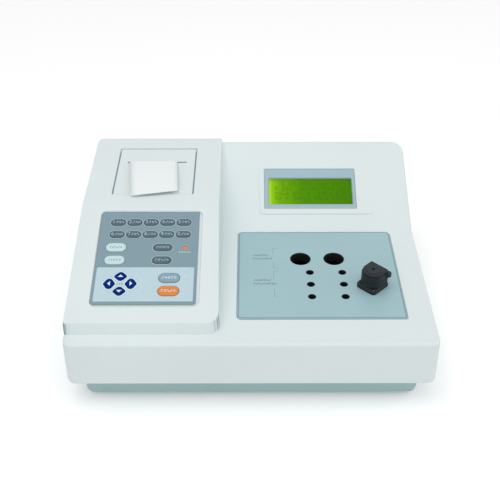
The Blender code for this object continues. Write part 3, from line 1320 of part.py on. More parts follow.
def make_print_train():
    """Model the roll, the platen, its gears and motor, and the print head."""
    across = (0, math.pi / 2, 0)
    turned("roll_spindle", spindle_profile(SPINDLE_RADIUS, SPINDLE_HUB, JOURNAL_RADIUS),
           GEAR_WHITE, PRINTER, (0, *ROLL_PLACE), across)
    bore, half = SPINDLE_RADIUS + GAP, PAPER_WIDTH / 2
    turned("paper_roll", [(bore, half), (ROLL_RADIUS, half), (ROLL_RADIUS, -half),
                          (bore, -half)], PAPER_WHITE, PRINTER,
           (STRIP_SHIFT, *ROLL_PLACE), across, FINE_SIDES, ring=True)
    turned("platen_roller", spindle_profile(PLATEN_RADIUS, PLATEN_WIDTH, SHAFT_RADIUS),
           RUBBER_BLACK, PRINTER, (0, *PLATEN_PLACE), across)
    low, high = GEAR_PLACE - GEAR_THICKNESS / 2, GEAR_PLACE + GEAR_THICKNESS / 2
    gear = add_mesh("platen_gear", prism(gear_outline(PLATEN_TEETH, (0, 0), GEAR_LINE_ANGLE),
                                         low, high, axis="X"), GEAR_WHITE, PRINTER,
                    (0, *PLATEN_PLACE))
    shaft_hole = prism(circle(SHAFT_RADIUS + GAP, sides=SMALL_SIDES),
                       low - OVERRUN, high + OVERRUN, axis="X")
    cut(gear, add_mesh("gear_bore", shaft_hole, parent=PRINTER, location=gear.location))
    gap_angle = GEAR_LINE_ANGLE + math.pi + math.pi / MOTOR_TEETH
    pinion = add_mesh("motor_gear", prism(gear_outline(MOTOR_TEETH, (0, 0), gap_angle),
                                          low, high, axis="X"), GEAR_WHITE, PRINTER,
                      (0, *motor_place()))
    face = -BIN_OUTER_X - GAP
    shaft = prism(circle(MOTOR_SHAFT_RADIUS, sides=SMALL_SIDES), face - MOTOR_SHAFT_ENTRY, high,
                  axis="X")
    join(pinion, add_mesh("motor_shaft", shaft, parent=PRINTER, location=pinion.location))
    motor = add_mesh("feed_motor", prism(circle(MOTOR_RADIUS), face - MOTOR_LENGTH, face,
                                         axis="X"), STEEL, PRINTER, pinion.location)
    motor_bore = prism(circle(MOTOR_SHAFT_RADIUS + GAP, sides=SMALL_SIDES),
                       face - MOTOR_SHAFT_ENTRY - GAP, face + OVERRUN, axis="X")
    cut(motor, add_mesh("motor_bore", motor_bore, parent=PRINTER, location=motor.location))
    head_y = PLATEN_PLACE[0] + PLATEN_RADIUS + GAP
    add_mesh("print_head", box((-PLATEN_WIDTH / 2, head_y, HEAD_TOP - HEAD_DROP),
                               (BIN_OUTER_X - BIN_WALL - GAP, head_y + HEAD_THICKNESS, HEAD_TOP)),
             PLASTIC_BLACK, PRINTER)


def strip_point(share, across):
    """Return a point of the paper, share along its length and across from -1 to 1."""
    turn_y = STRIP_Y - STRIP_TURN_RADIUS
    if share < STRIP_RISE_SHARE:
        part = share / STRIP_RISE_SHARE
        y, z, forward = STRIP_Y, STRIP_START + part * (STRIP_REST - STRIP_START), 0
    elif share < STRIP_TURN_SHARE:
        part = (share - STRIP_RISE_SHARE) / (STRIP_TURN_SHARE - STRIP_RISE_SHARE)
        angle = math.pi / 2 * part
        y = turn_y + STRIP_TURN_RADIUS * math.cos(angle)
        z, forward = STRIP_REST + STRIP_TURN_RADIUS * math.sin(angle), 0
    else:
        forward = (share - STRIP_TURN_SHARE) / (1 - STRIP_TURN_SHARE)
        rightward = (across + 1) / 2
        lift = STRIP_LIFT_LEFT + (STRIP_LIFT_RIGHT - STRIP_LIFT_LEFT) * rightward
        reach = STRIP_REACH_LEFT + (STRIP_REACH_RIGHT - STRIP_REACH_LEFT) * rightward
        y = turn_y - forward * reach
        z = STRIP_REST + STRIP_TURN_RADIUS * (1 - forward) ** 3 + lift * forward ** 2
    x = STRIP_SHIFT + STRIP_SKEW * forward
    x += across * (PAPER_WIDTH - STRIP_NARROWING * forward) / 2
    return x, y, z


def make_paper_strip():
    """Bend a flat grid into the paper that comes up through the slot and falls forward."""
    bm = bmesh.new()
    bmesh.ops.create_grid(bm, x_segments=STRIP_COLUMNS, y_segments=STRIP_ROWS, size=1)
    for vert in bm.verts:
        vert.co = strip_point((1 - vert.co.y) / 2, vert.co.x)
    strip = add_mesh("paper_strip", bm, PAPER_WHITE, PRINTER)
    thick = strip.modifiers.new("thickness", "SOLIDIFY")
    thick.thickness = PAPER_THICKNESS
    thick.offset = 0


# Boards, supply and connectors

def make_boards():
    width, length = MAIN_BOARD_RIGHT - MAIN_BOARD_LEFT, MAIN_BOARD_BACK - MAIN_BOARD_FRONT
    x0, y0 = MAIN_BOARD_LEFT + width / 2, MAIN_BOARD_FRONT + length / 2
    low = TRAY_FLOOR + MAIN_BOARD_RISE + GAP
    board = add_mesh("main_board", prism(rectangle(width, length, centre=(x0, y0)),
                                         low, low + BOARD_THICKNESS), BOARD_GREEN)
    chips = bmesh.new()
    for share_x, share_y, wide, long, tall in MAIN_CHIP_SHARES:
        x, y = x0 + share_x * width, y0 + share_y * length
        half_x, half_y = wide * width / 2, long * length / 2
        top = low + BOARD_THICKNESS + tall * CHIP_HEIGHT
        box((x - half_x, y - half_y, low + BOARD_THICKNESS / 2), (x + half_x, y + half_y, top),
            into=chips)
    join(board, add_mesh("main_chips", chips))
    width, length, height = SUPPLY_SIZE
    low = TRAY_FLOOR + GAP
    place = (HALF_WIDTH - SUPPLY_SIDE_INSET, HALF_DEPTH - SUPPLY_END_INSET)
    add_mesh("power_supply", stack(rectangle(width, length, SUPPLY_EDGE, place), [
        (0, low), (0, low + height - SUPPLY_EDGE), (-SUPPLY_EDGE, low + height),
    ]), SUPPLY_METAL)


def connector(name, x, flange, body, depth, radius=0):
    """Return a connector's body behind its flange, in the pocket of the back wall."""
    centre = (x, CONNECTOR_LEVEL)
    obj = add_mesh(name, prism(rectangle(*flange, radius, centre), BACK_FACE,
                               BACK_FACE + CONNECTOR_FLANGE, axis="Y"), PLASTIC_BLACK)
    inner = prism(rectangle(*body, centre=centre), BACK_FACE - depth,
                  BACK_FACE + CONNECTOR_FLANGE / 2, axis="Y")
    join(obj, add_mesh(name + "_body", inner))
    return obj


def make_power_inlet():
    """Model the appliance inlet with its three blades."""
    inlet = connector("power_inlet", INLET_X, INLET_FLANGE, INLET_BODY, INLET_DEPTH,
                      INLET_CORNER_RADIUS)
    face = BACK_FACE + CONNECTOR_FLANGE
    half_x, half_z = INLET_SOCKET[0] / 2, INLET_SOCKET[1] / 2
    corners = [(INLET_X - half_x, CONNECTOR_LEVEL - half_z, 0),
               (INLET_X + half_x, CONNECTOR_LEVEL - half_z, 0),
               (INLET_X + half_x, CONNECTOR_LEVEL + half_z - INLET_CHAMFER, 0),
               (INLET_X + half_x - INLET_CHAMFER, CONNECTOR_LEVEL + half_z, 0),
               (INLET_X - half_x + INLET_CHAMFER, CONNECTOR_LEVEL + half_z, 0),
               (INLET_X - half_x, CONNECTOR_LEVEL + half_z - INLET_CHAMFER, 0)]
    floor = face - INLET_SOCKET_DEPTH
    cut(inlet, add_mesh("inlet_socket", prism(rounded_outline(corners), floor, face + OVERRUN,
                                              axis="Y")))
    pins = bmesh.new()
    for step in (-1, 0, 1):
        x = INLET_X + step * INLET_PIN_SPREAD
        z = CONNECTOR_LEVEL - INLET_PIN_RAISE / 2 + (INLET_PIN_RAISE if step == 0 else 0)
        prism(rectangle(*INLET_PIN, centre=(x, z)), floor - OVERRUN / 2,
              floor + INLET_PIN_LENGTH, axis="Y", into=pins)
    join(inlet, add_mesh("inlet_pins", pins))


def make_power_switch():
    """Model the rocker switch; its rocker turns on stub pins in its frame."""
    frame = connector("switch_frame", SWITCH_X, SWITCH_FLANGE, SWITCH_BODY, SWITCH_DEPTH,
                      INLET_CORNER_RADIUS)
    face = BACK_FACE + CONNECTOR_FLANGE
    well = prism(rectangle(*SWITCH_WELL, centre=(SWITCH_X, CONNECTOR_LEVEL)),
                 face - SWITCH_WELL_DEPTH, face + OVERRUN, axis="Y")
    pivot = (face - ROCKER_PIVOT_DEPTH, CONNECTOR_LEVEL)
    reach = SWITCH_BODY[0] / 2
    holes = prism(circle(ROCKER_PIN_RADIUS + GAP, pivot, SMALL_SIDES), SWITCH_X - reach - OVERRUN,
                  SWITCH_X + reach + OVERRUN, axis="X")
    cut(frame, add_mesh("switch_well", well), add_mesh("switch_pin_holes", holes))
    half_x = SWITCH_WELL[0] / 2 - GAP
    corners = [(-ROCKER_BACK, -ROCKER_BACK_HALF, 0), (ROCKER_FACE, -ROCKER_HALF, 0),
               (ROCKER_FACE - ROCKER_DISH, 0, 0), (ROCKER_FACE, ROCKER_HALF, 0),
               (-ROCKER_BACK, ROCKER_BACK_HALF, 0)]
    rocker = add_mesh("power_switch", prism(rounded_outline(corners), -half_x, half_x,
                                            axis="X"), PLASTIC_BLACK,
                      location=(SWITCH_X, *pivot))
    pins = prism(circle(ROCKER_PIN_RADIUS, sides=SMALL_SIDES), -reach + GAP, reach - GAP,
                 axis="X")
    stubs = add_mesh("rocker_pins", pins, location=rocker.location)
    rocker.rotation_euler = (-ROCKER_SWING, 0, 0)
    join(rocker, stubs)


def make_serial_port():
    """Model the serial socket: a flange, a tapered shell and its recess."""
    port = connector("serial_port", SERIAL_X, SERIAL_FLANGE, SERIAL_SHELL, SERIAL_DEPTH)
    face = BACK_FACE + CONNECTOR_FLANGE
    half_x, half_z = (size / 2 - SERIAL_WALL for size in SERIAL_SHELL)
    outline = rounded_outline([
        (SERIAL_X - half_x + SERIAL_TAPER, CONNECTOR_LEVEL - half_z, SERIAL_WALL),
        (SERIAL_X + half_x - SERIAL_TAPER, CONNECTOR_LEVEL - half_z, SERIAL_WALL),
        (SERIAL_X + half_x, CONNECTOR_LEVEL + half_z, SERIAL_WALL),
        (SERIAL_X - half_x, CONNECTOR_LEVEL + half_z, SERIAL_WALL),
    ])
    cut(port, add_mesh("serial_recess", prism(outline, face - SERIAL_CAVITY_DEPTH,
                                              face + OVERRUN, axis="Y")))


make_upper_case()
make_base_tray()
make_feet()
make_keypad()
make_display()
make_well_plate()
make_heater_block()
make_port()
make_optics()
make_printer_cover()
make_printer_frame()
make_print_train()
make_paper_strip()
make_boards()
make_power_inlet()
make_power_switch()
make_serial_port()
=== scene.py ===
"""The looks of the coagulation analyzer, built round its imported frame."""
import math

import bmesh
import bpy
from mathutils import Matrix, Vector


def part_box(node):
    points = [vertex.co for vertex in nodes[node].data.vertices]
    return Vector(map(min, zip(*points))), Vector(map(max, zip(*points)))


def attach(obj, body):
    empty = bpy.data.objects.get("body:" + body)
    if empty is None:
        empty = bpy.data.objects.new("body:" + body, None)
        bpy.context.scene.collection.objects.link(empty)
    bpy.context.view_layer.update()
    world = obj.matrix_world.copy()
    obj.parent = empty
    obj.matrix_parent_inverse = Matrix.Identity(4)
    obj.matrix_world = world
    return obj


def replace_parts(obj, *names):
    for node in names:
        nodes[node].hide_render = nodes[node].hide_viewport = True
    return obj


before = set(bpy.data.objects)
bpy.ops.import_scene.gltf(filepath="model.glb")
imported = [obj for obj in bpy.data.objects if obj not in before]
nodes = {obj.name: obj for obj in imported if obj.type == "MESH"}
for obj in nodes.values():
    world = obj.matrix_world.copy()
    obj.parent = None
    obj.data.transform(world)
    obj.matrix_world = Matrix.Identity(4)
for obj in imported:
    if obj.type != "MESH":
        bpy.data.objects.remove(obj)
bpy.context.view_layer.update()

# The sloped faces' own frames, as the part's source has them: origin and slope
KEYPAD = ((-0.0865, -0.0433, 0.092715), math.radians(14.5))
DISPLAY = ((0.0561, 0.0742, 0.085763), math.radians(25.4))
PRINTER = ((-0.0883, 0.0685, 0.109807), math.radians(2.7))
DECK = ((0, 0, 0.0669), 0)
FLAT = ((0, 0, 0), 0)

# Heights over the keypad's slope, and the thickness of a print
PANEL_LOW = -0.0009
PANEL_TOP = 0.0001
KEY_TOP = 0.0008
INK = 0.00004

# Edges that turn by less than this shade smooth
SMOOTH_ANGLE = math.radians(32)
HOUSING_SMOOTH_ANGLE = math.radians(52)
WELD_DISTANCE = 0.00001

# Paper roll: its axis in the printer's frame, and its turns
ROLL_Y, ROLL_Z = -0.0150, -0.0255
TURNS_PER_METRE = 2500

# Lit window and its character cells, in the display's frame
SCREEN_LEFT, SCREEN_BOTTOM = -0.03885, -0.0168
SCREEN_WIDTH, SCREEN_HEIGHT = 0.0787, 0.0286
CELLS_LEFT, CELLS_BOTTOM = -0.0335, -0.0131
CELL_PITCH, ROW_PITCH = 0.0034, 0.0054
CELL_COLUMNS, CELL_ROWS = 20, 4
DOT_COLUMNS, DOT_ROWS = 5, 7
BLANK_COLUMNS, BLANK_ROWS = 1, 2
COLUMN_SEED, ROW_SEED = 7, 11


def srgb(red, green, blue):
    """Return the linear colour of an 8-bit one."""
    channels = []
    for value in (red, green, blue):
        share = value / 255
        channels.append(share / 12.92 if share <= 0.04045 else ((share + 0.055) / 1.055) ** 2.4)
    return (*channels, 1)


def shade(colour, factor):
    return tuple(min(1, channel * factor) for channel in colour[:3]) + (1,)


# Node materials

class Nodes:
    """A small builder of one material's node tree."""

    def __init__(self, name):
        self.material = bpy.data.materials.new(name)
        self.material.use_nodes = True
        self.tree = self.material.node_tree
        self.shader = self.tree.nodes["Principled BSDF"]

    def add(self, kind, **settings):
        node = self.tree.nodes.new(kind)
        for key, value in settings.items():
            setattr(node, key, value)
        return node

    def link(self, source, target):
        self.tree.links.new(source, target)

    def put(self, socket, value):
        if isinstance(value, bpy.types.NodeSocket):
            self.link(value, socket)
        else:
            socket.default_value = value

    def place(self, frame_of=FLAT):
        """Return the object's own coordinates, turned into a sloped face's frame."""
        coords = self.add("ShaderNodeTexCoord").outputs["Object"]
        if frame_of is FLAT:
            return coords
        mapping = self.add("ShaderNodeMapping", vector_type="TEXTURE")
        self.link(coords, mapping.inputs["Vector"])
        mapping.inputs["Location"].default_value = frame_of[0]
        mapping.inputs["Rotation"].default_value = (frame_of[1], 0, 0)
        return mapping.outputs["Vector"]

    def stretched(self, vector, scale):
        mapping = self.add("ShaderNodeMapping")
        self.link(vector, mapping.inputs["Vector"])
        mapping.inputs["Scale"].default_value = scale
        return mapping.outputs["Vector"]

    def axes(self, vector):
        node = self.add("ShaderNodeSeparateXYZ")
        self.link(vector, node.inputs[0])
        return node.outputs

    def math(self, operation, first, second=0.0, third=0.0):
        node = self.add("ShaderNodeMath", operation=operation)
        for socket, value in zip(node.inputs, (first, second, third)):
            self.put(socket, value)
        return node.outputs[0]

    def noise(self, vector, scale, detail=2.0, roughness=0.5):
        node = self.add("ShaderNodeTexNoise")
        self.link(vector, node.inputs["Vector"])
        node.inputs["Scale"].default_value = scale
        node.inputs["Detail"].default_value = detail
        node.inputs["Roughness"].default_value = roughness
        return node.outputs["Fac"]

    def white(self, first, second):
        join = self.add("ShaderNodeCombineXYZ")
        self.put(join.inputs[0], first)
        self.put(join.inputs[1], second)
        node = self.add("ShaderNodeTexWhiteNoise", noise_dimensions="3D")
        self.link(join.outputs[0], node.inputs["Vector"])
        return node.outputs["Value"]

    def mix(self, factor, first, second):
        node = self.add("ShaderNodeMix", data_type="RGBA")
        self.put(node.inputs["Factor"], factor)
        self.put(node.inputs["A"], first)
        self.put(node.inputs["B"], second)
        return node.outputs["Result"]

    def ramp(self, factor, stops):
        node = self.add("ShaderNodeValToRGB")
        self.put(node.inputs[0], factor)
        ramp = node.color_ramp
        while len(ramp.elements) < len(stops):
            ramp.elements.new(0.5)
        for element, (place, colour) in zip(ramp.elements, stops):
            element.position = place
            element.color = colour
        return node.outputs[0]

    def remap(self, value, low, high):
        node = self.add("ShaderNodeMapRange")
        self.put(node.inputs["Value"], value)
        node.inputs["To Min"].default_value = low
        node.inputs["To Max"].default_value = high
        return node.outputs["Result"]

    def bump(self, height, strength, distance, before=None):
        node = self.add("ShaderNodeBump")
        node.inputs["Strength"].default_value = strength
        node.inputs["Distance"].default_value = distance
        self.link(height, node.inputs["Height"])
        if before is not None:
            self.link(before, node.inputs["Normal"])
        return node.outputs["Normal"]

    def set(self, **values):
        for key, value in values.items():
            self.put(self.shader.inputs[key.replace("_", " ")], value)


def moulded(name, colour, roughness=0.42, grain=2200, depth=0.00004, mottling=0.03, gloss=0.5):
    """Return moulded plastic: a fine spark texture, faint cloudiness and uneven gloss."""
    n = Nodes(name)
    vector = n.place()
    cloud = n.noise(vector, scale=14, detail=3)
    fine = n.noise(vector, scale=120, detail=4, roughness=0.6)
    tone = n.mix(cloud, shade(colour, 1 - mottling), shade(colour, 1 + mottling))
    speck = n.math("LESS_THAN", n.noise(vector, scale=700, detail=1), 0.30)
    tone = n.mix(n.math("MULTIPLY", speck, 0.10), tone, shade(colour, 0.72))
    spark = n.noise(vector, scale=grain, detail=2)
    normal = n.bump(spark, strength=0.35, distance=depth)
    normal = n.bump(fine, strength=0.10, distance=0.0001, before=normal)
    n.set(Base_Color=tone, Roughness=n.remap(fine, roughness - 0.07, roughness + 0.09),
          Normal=normal, Specular_IOR_Level=gloss)
    return n.material


def overlay(name, colour, roughness=0.45, mottling=0.02, gloss=0.25):
    """Return the keypad's printed film, which is smoother than moulded plastic."""
    return moulded(name, colour, roughness, grain=2600, depth=0.00002, mottling=mottling, gloss=gloss)


def coated(name, colour, roughness=0.38):
    """Return a satin coated sheet: slight orange peel and fine rubbed marks."""
    n = Nodes(name)
    vector = n.place()
    cloud = n.noise(vector, scale=20, detail=4)
    peel = n.noise(vector, scale=600, detail=2)
    rubbed = n.noise(n.stretched(vector, (30, 900, 30)), scale=1, detail=3, roughness=0.7)
    tone = n.mix(cloud, shade(colour, 0.96), shade(colour, 1.04))
    tone = n.mix(n.math("MULTIPLY", n.math("GREATER_THAN", rubbed, 0.66), 0.18),
                 tone, shade(colour, 1.25))
    n.set(Base_Color=tone, Roughness=n.remap(rubbed, roughness - 0.08, roughness + 0.12),
          Normal=n.bump(peel, strength=0.12, distance=0.00005))
    return n.material


def metal(name, colour, roughness=0.32, along=(900, 20, 20)):
    """Return metal with drawn lines along one axis."""
    n = Nodes(name)
    vector = n.place()
    lines = n.noise(n.stretched(vector, along), scale=2, detail=5, roughness=0.7)
    cloud = n.noise(vector, scale=60, detail=3)
    tone = n.mix(cloud, shade(colour, 0.85), shade(colour, 1.1))
    n.set(Base_Color=tone, Metallic=1.0, Roughness=n.remap(lines, roughness - 0.1, roughness + 0.2),
          Normal=n.bump(lines, strength=0.15, distance=0.00004))
    return n.material


def rubber(name, colour):
    """Return dusty rubber."""
    n = Nodes(name)
    vector = n.place()
    dust = n.noise(vector, scale=90, detail=5, roughness=0.7)
    tone = n.mix(n.remap(dust, 0.0, 0.35), colour, srgb(96, 98, 98))
    grain = n.noise(vector, scale=1500, detail=2)
    n.set(Base_Color=tone, Roughness=n.remap(dust, 0.72, 0.95),
          Normal=n.bump(grain, strength=0.4, distance=0.00005))
    return n.material


def foam(name):
    """Return closed-cell foam, with painted shade in the pits of its cells."""
    n = Nodes(name)
    cell = n.add("ShaderNodeTexVoronoi")
    n.link(n.place(), cell.inputs["Vector"])
    cell.inputs["Scale"].default_value = 900
    depth = cell.outputs["Distance"]
    # painted shade: the cells' pits are coloured darker than their rims
    n.set(Base_Color=n.mix(depth, srgb(188, 188, 182), srgb(226, 226, 220)), Roughness=0.95,
          Normal=n.bump(depth, strength=0.6, distance=0.0003))
    return n.material


def circuit(name):
    """Return a solder-masked board with faint tracks and pads."""
    n = Nodes(name)
    vector = n.place()
    tracks = n.add("ShaderNodeTexBrick", offset=0.35, squash=0.6)
    n.link(vector, tracks.inputs["Vector"])
    tracks.inputs["Scale"].default_value = 160
    tracks.inputs["Mortar Size"].default_value = 0.03
    tracks.inputs["Color1"].default_value = srgb(20, 92, 56)
    tracks.inputs["Color2"].default_value = srgb(24, 100, 60)
    tracks.inputs["Mortar"].default_value = srgb(60, 140, 84)
    n.set(Base_Color=tracks.outputs["Color"],
          Roughness=n.remap(n.noise(vector, scale=300, detail=2), 0.25, 0.5))
    return n.material


def paper(name, colour):
    """Return thermal paper: long fibres, a soft sheen and slight waviness."""
    n = Nodes(name)
    vector = n.place()
    fibre = n.noise(vector, scale=800, detail=4, roughness=0.7)
    wave = n.bump(n.noise(vector, scale=45, detail=1), strength=0.25, distance=0.0008)
    n.set(Base_Color=n.mix(fibre, shade(colour, 0.97), shade(colour, 1.02)),
          Roughness=n.remap(fibre, 0.55, 0.75),
          Normal=n.bump(fibre, strength=0.15, distance=0.00005, before=wave))
    return n.material


def roll_end(name, colour):
    """Return the wound roll's paper, with its turns showing as rings at the ends."""
    n = Nodes(name)
    x, y, z = n.axes(n.place(PRINTER))
    from_y, from_z = n.math("SUBTRACT", y, ROLL_Y), n.math("SUBTRACT", z, ROLL_Z)
    square = n.math("ADD", n.math("MULTIPLY", from_y, from_y), n.math("MULTIPLY", from_z, from_z))
    turn = n.math("FRACT", n.math("MULTIPLY", n.math("SQRT", square), TURNS_PER_METRE))
    n.set(Base_Color=n.mix(turn, shade(colour, 0.88), colour), Roughness=0.7)
    return n.material


def lcd(name):
    """Return the lit display: bright at its left end, with faint rows of dot characters."""
    n = Nodes(name)
    x, y, z = n.axes(n.place(DISPLAY))
    along = n.math("DIVIDE", n.math("SUBTRACT", x, SCREEN_LEFT), SCREEN_WIDTH)
    across = n.math("DIVIDE", n.math("SUBTRACT", y, SCREEN_BOTTOM), SCREEN_HEIGHT)
    glow = n.ramp(along, [
        (0.00, srgb(190, 218, 48)), (0.04, srgb(140, 190, 18)), (0.13, srgb(106, 164, 8)),
        (0.40, srgb(74, 136, 3)), (1.00, srgb(60, 120, 1))])
    edge = n.math("MULTIPLY", n.math("GREATER_THAN", across, 0.90), 0.22)
    glow = n.mix(edge, glow, srgb(60, 104, 12))
    streak = n.noise(n.place(DISPLAY), scale=160, detail=4, roughness=0.7)
    glow = n.mix(n.remap(streak, 0.0, 0.12), glow, srgb(140, 195, 50))
    # cells of dark dots on the lit ground, blank at their right and bottom edges
    column = n.math("DIVIDE", n.math("SUBTRACT", x, CELLS_LEFT), CELL_PITCH)
    row = n.math("DIVIDE", n.math("SUBTRACT", y, CELLS_BOTTOM), ROW_PITCH)
    cell_x, cell_y = n.math("FLOOR", column), n.math("FLOOR", row)
    across_cell, up_cell = n.math("FRACT", column), n.math("FRACT", row)
    dot_x = n.math("FLOOR", n.math("MULTIPLY", across_cell, DOT_COLUMNS + BLANK_COLUMNS))
    dot_y = n.math("FLOOR", n.math("MULTIPLY", up_cell, DOT_ROWS + BLANK_ROWS))
    dot = n.white(n.math("MULTIPLY_ADD", cell_x, COLUMN_SEED, dot_x),
                  n.math("MULTIPLY_ADD", cell_y, ROW_SEED, dot_y))
    lit = n.math("GREATER_THAN", dot, 0.45)
    filled = n.math("GREATER_THAN", n.white(cell_x, cell_y), 0.28)
    for condition in (filled, n.math("LESS_THAN", dot_x, DOT_COLUMNS),
                      n.math("GREATER_THAN", dot_y, BLANK_ROWS - 1),
                      n.math("GREATER_THAN", cell_x, -0.5),
                      n.math("LESS_THAN", cell_x, CELL_COLUMNS - 0.5),
                      n.math("GREATER_THAN", cell_y, -0.5),
                      n.math("LESS_THAN", cell_y, CELL_ROWS - 0.5)):
        lit = n.math("MULTIPLY", lit, condition)
    glow = n.mix(n.math("MULTIPLY", lit, 0.42), glow, srgb(58, 104, 14))
    n.set(Base_Color=glow, Roughness=0.16, Emission_Color=glow, Emission_Strength=0.12,
          Specular_IOR_Level=0.02)
    return n.material


def ink(name, colour, roughness=0.45):
    """Return screen-printed ink: faintly uneven, with a slight tooth."""
    n = Nodes(name)
    vector = n.place()
    patch = n.noise(vector, scale=260, detail=3)
    tooth = n.noise(vector, scale=1800, detail=1)
    n.set(Base_Color=n.mix(patch, shade(colour, 0.94), shade(colour, 1.06)),
          Roughness=n.remap(patch, roughness - 0.05, roughness + 0.1),
          Normal=n.bump(tooth, strength=0.15, distance=0.00002))
    return n.material


def lamp_lens(name):
    """Return the light's faceted lens, faintly lit."""
    n = Nodes(name)
    facets = n.noise(n.place(), scale=900, detail=2)
    n.set(Base_Color=n.mix(facets, srgb(214, 96, 52), srgb(240, 140, 84)), Roughness=0.22,
          Emission_Color=srgb(232, 96, 40), Emission_Strength=0.25,
          Normal=n.bump(facets, strength=0.2, distance=0.00008))
    return n.material


def floor_finish(name):
    """Return the pale floor, lifted towards white where it is seen and not where it lights."""
    n = Nodes(name)
    path = n.add("ShaderNodeLightPath").outputs
    seen = n.math("MAXIMUM", n.math("MAXIMUM", path["Is Camera Ray"], path["Is Glossy Ray"]),
                  path["Is Transmission Ray"])
    n.set(Base_Color=n.mix(n.noise(n.place(), scale=3, detail=2), srgb(244, 244, 244),
                           srgb(247, 247, 247)),
          Roughness=0.9, Emission_Color=(1, 1, 1, 1),
          Emission_Strength=n.math("MULTIPLY", seen, 0.22))
    return n.material


WHITE = moulded("housing_white_moulded", srgb(224, 234, 235), roughness=0.55, gloss=0.35)
TRAY = moulded("tray_grey_moulded", srgb(166, 195, 197), roughness=0.55, grain=1500, depth=0.00006,
               mottling=0.05, gloss=0.3)
PANEL = overlay("overlay_grey", srgb(129, 155, 165), gloss=0.3)
PLATE = coated("plate_blue_coated", srgb(160, 193, 200))
BEZEL = moulded("bezel_blue", srgb(160, 186, 196), roughness=0.38, grain=2400, depth=0.00002,
                mottling=0.02)
PORT = moulded("port_black_moulded", srgb(25, 32, 36), roughness=0.48, grain=1700, depth=0.00006,
               mottling=0.10, gloss=0.3)
BLACK = moulded("black_moulded", srgb(30, 31, 33), roughness=0.45, grain=1900, depth=0.00005,
                mottling=0.10)
GEAR = moulded("gear_white_moulded", srgb(224, 222, 212))
BLOCK = metal("block_black_anodised", srgb(40, 42, 45), 0.45)
STEEL = metal("steel_drawn", srgb(190, 192, 196), 0.30)
SHEET = coated("printer_sheet_coated", srgb(206, 212, 213), 0.5)
BURNISHED = metal("screw_burnished", srgb(72, 72, 75), 0.38)
SUPPLY = metal("supply_cover_metal", srgb(180, 184, 188), 0.42, (20, 700, 20))
BRASS = metal("contact_metal", srgb(206, 188, 140), 0.28, (20, 900, 20))
FEET = rubber("feet_rubber", srgb(24, 24, 25))
FOAM = foam("foam_cells")
BOARD = circuit("circuit_board")
PAPER = paper("thermal_paper", srgb(238, 245, 244))
ROLL = roll_end("paper_roll_wound", srgb(236, 242, 240))
SCREEN = lcd("display_lit")
LENS = lamp_lens("lamp_lens_red")
KEY_DARK = overlay("key_dark_overlay", srgb(80, 104, 114), mottling=0.03)
KEY_PALE = overlay("key_pale_overlay", srgb(200, 226, 229))
KEY_BLUE = overlay("key_blue_overlay", srgb(2, 42, 122), roughness=0.5, mottling=0.04, gloss=0.03)
KEY_GREY = overlay("key_grey_overlay", srgb(138, 166, 177), mottling=0.03)
KEY_ORANGE = overlay("key_orange_overlay", srgb(224, 138, 70), mottling=0.03, gloss=0.2)
INK_PALE = ink("ink_pale", srgb(176, 196, 203))
INK_WHITE = ink("ink_white", srgb(222, 238, 246))
INK_FIELD = ink("ink_pale_field", srgb(188, 212, 221))
INK_GREY = ink("ink_grey", srgb(118, 142, 150))
INK_DARK = ink("ink_dark", srgb(62, 84, 96))
INK_LINE = ink("ink_plate_line", srgb(126, 156, 166))
# painted glow: the lit lamp's light on the panel round it, painted as a pinkish ring
PAINTED_LAMP_GLOW = ink("painted_lamp_glow", srgb(176, 150, 140))

LOOKS = {
    "upper_case": WHITE, "printer_cover": WHITE, "base_tray": TRAY, "keypad_panel": PANEL,
    "well_plate": PLATE, "display_frame": BEZEL, "display_glass": SCREEN,
    "port_base": PORT, "port_cap": PORT, "heater_block": BLOCK, "block_insulation": FOAM,
    "port_screw_left": BURNISHED, "port_screw_front": BURNISHED, "light_source": STEEL,
    "photodetector": STEEL, "cover_hinge_pin": STEEL, "printer_frame": SHEET,
    "feed_motor": STEEL, "power_supply": SUPPLY, "keypad_board": BOARD,
    "display_board": BOARD, "main_board": BOARD, "paper_strip": PAPER, "paper_roll": ROLL,
    "optics_block": BLACK, "print_head": BLACK, "power_inlet": BLACK, "switch_frame": BLACK,
    "power_switch": BLACK, "serial_port": BLACK, "platen_roller": FEET, "roll_spindle": GEAR,
    "platen_gear": GEAR, "motor_gear": GEAR, "status_led": LENS,
    "key_left_upper": KEY_PALE, "key_left_lower": KEY_PALE,
    "key_right_upper": KEY_DARK, "key_right_lower": KEY_DARK,
    "key_menu": KEY_GREY, "key_enter": KEY_ORANGE,
}


def look_of(name):
    """Return a node's material; what neither a rule nor the table names is a number key."""
    if name.startswith("foot_"):
        return FEET
    if name.startswith("key_arrow"):
        return KEY_BLUE
    return LOOKS.get(name, KEY_DARK)


# Rounded edges of the frame's nodes shade smooth, and real edges stay crisp

def smoother(name, sharp_angle):
    """Return a node group that welds a faceted body and marks its real edges as sharp."""
    group = bpy.data.node_groups.new(name, "GeometryNodeTree")
    for direction in ("INPUT", "OUTPUT"):
        group.interface.new_socket("Geometry", in_out=direction, socket_type="NodeSocketGeometry")
    start, end = group.nodes.new("NodeGroupInput"), group.nodes.new("NodeGroupOutput")
    weld = group.nodes.new("GeometryNodeMergeByDistance")
    weld.inputs["Distance"].default_value = WELD_DISTANCE
    angle = group.nodes.new("GeometryNodeInputMeshEdgeAngle")
    real = group.nodes.new("ShaderNodeMath")
    real.operation = "GREATER_THAN"
    real.inputs[1].default_value = sharp_angle
    normals = group.nodes.new("GeometryNodeSetMeshNormal")
    normals.mode = "SHARPNESS"
    normals.inputs["Remove Custom"].default_value = True
    group.links.new(start.outputs[0], weld.inputs["Geometry"])
    group.links.new(weld.outputs["Geometry"], normals.inputs["Mesh"])
    group.links.new(angle.outputs["Unsigned Angle"], real.inputs[0])
    group.links.new(real.outputs[0], normals.inputs["Edge Sharpness"])
    group.links.new(normals.outputs["Mesh"], end.inputs[0])
    return group


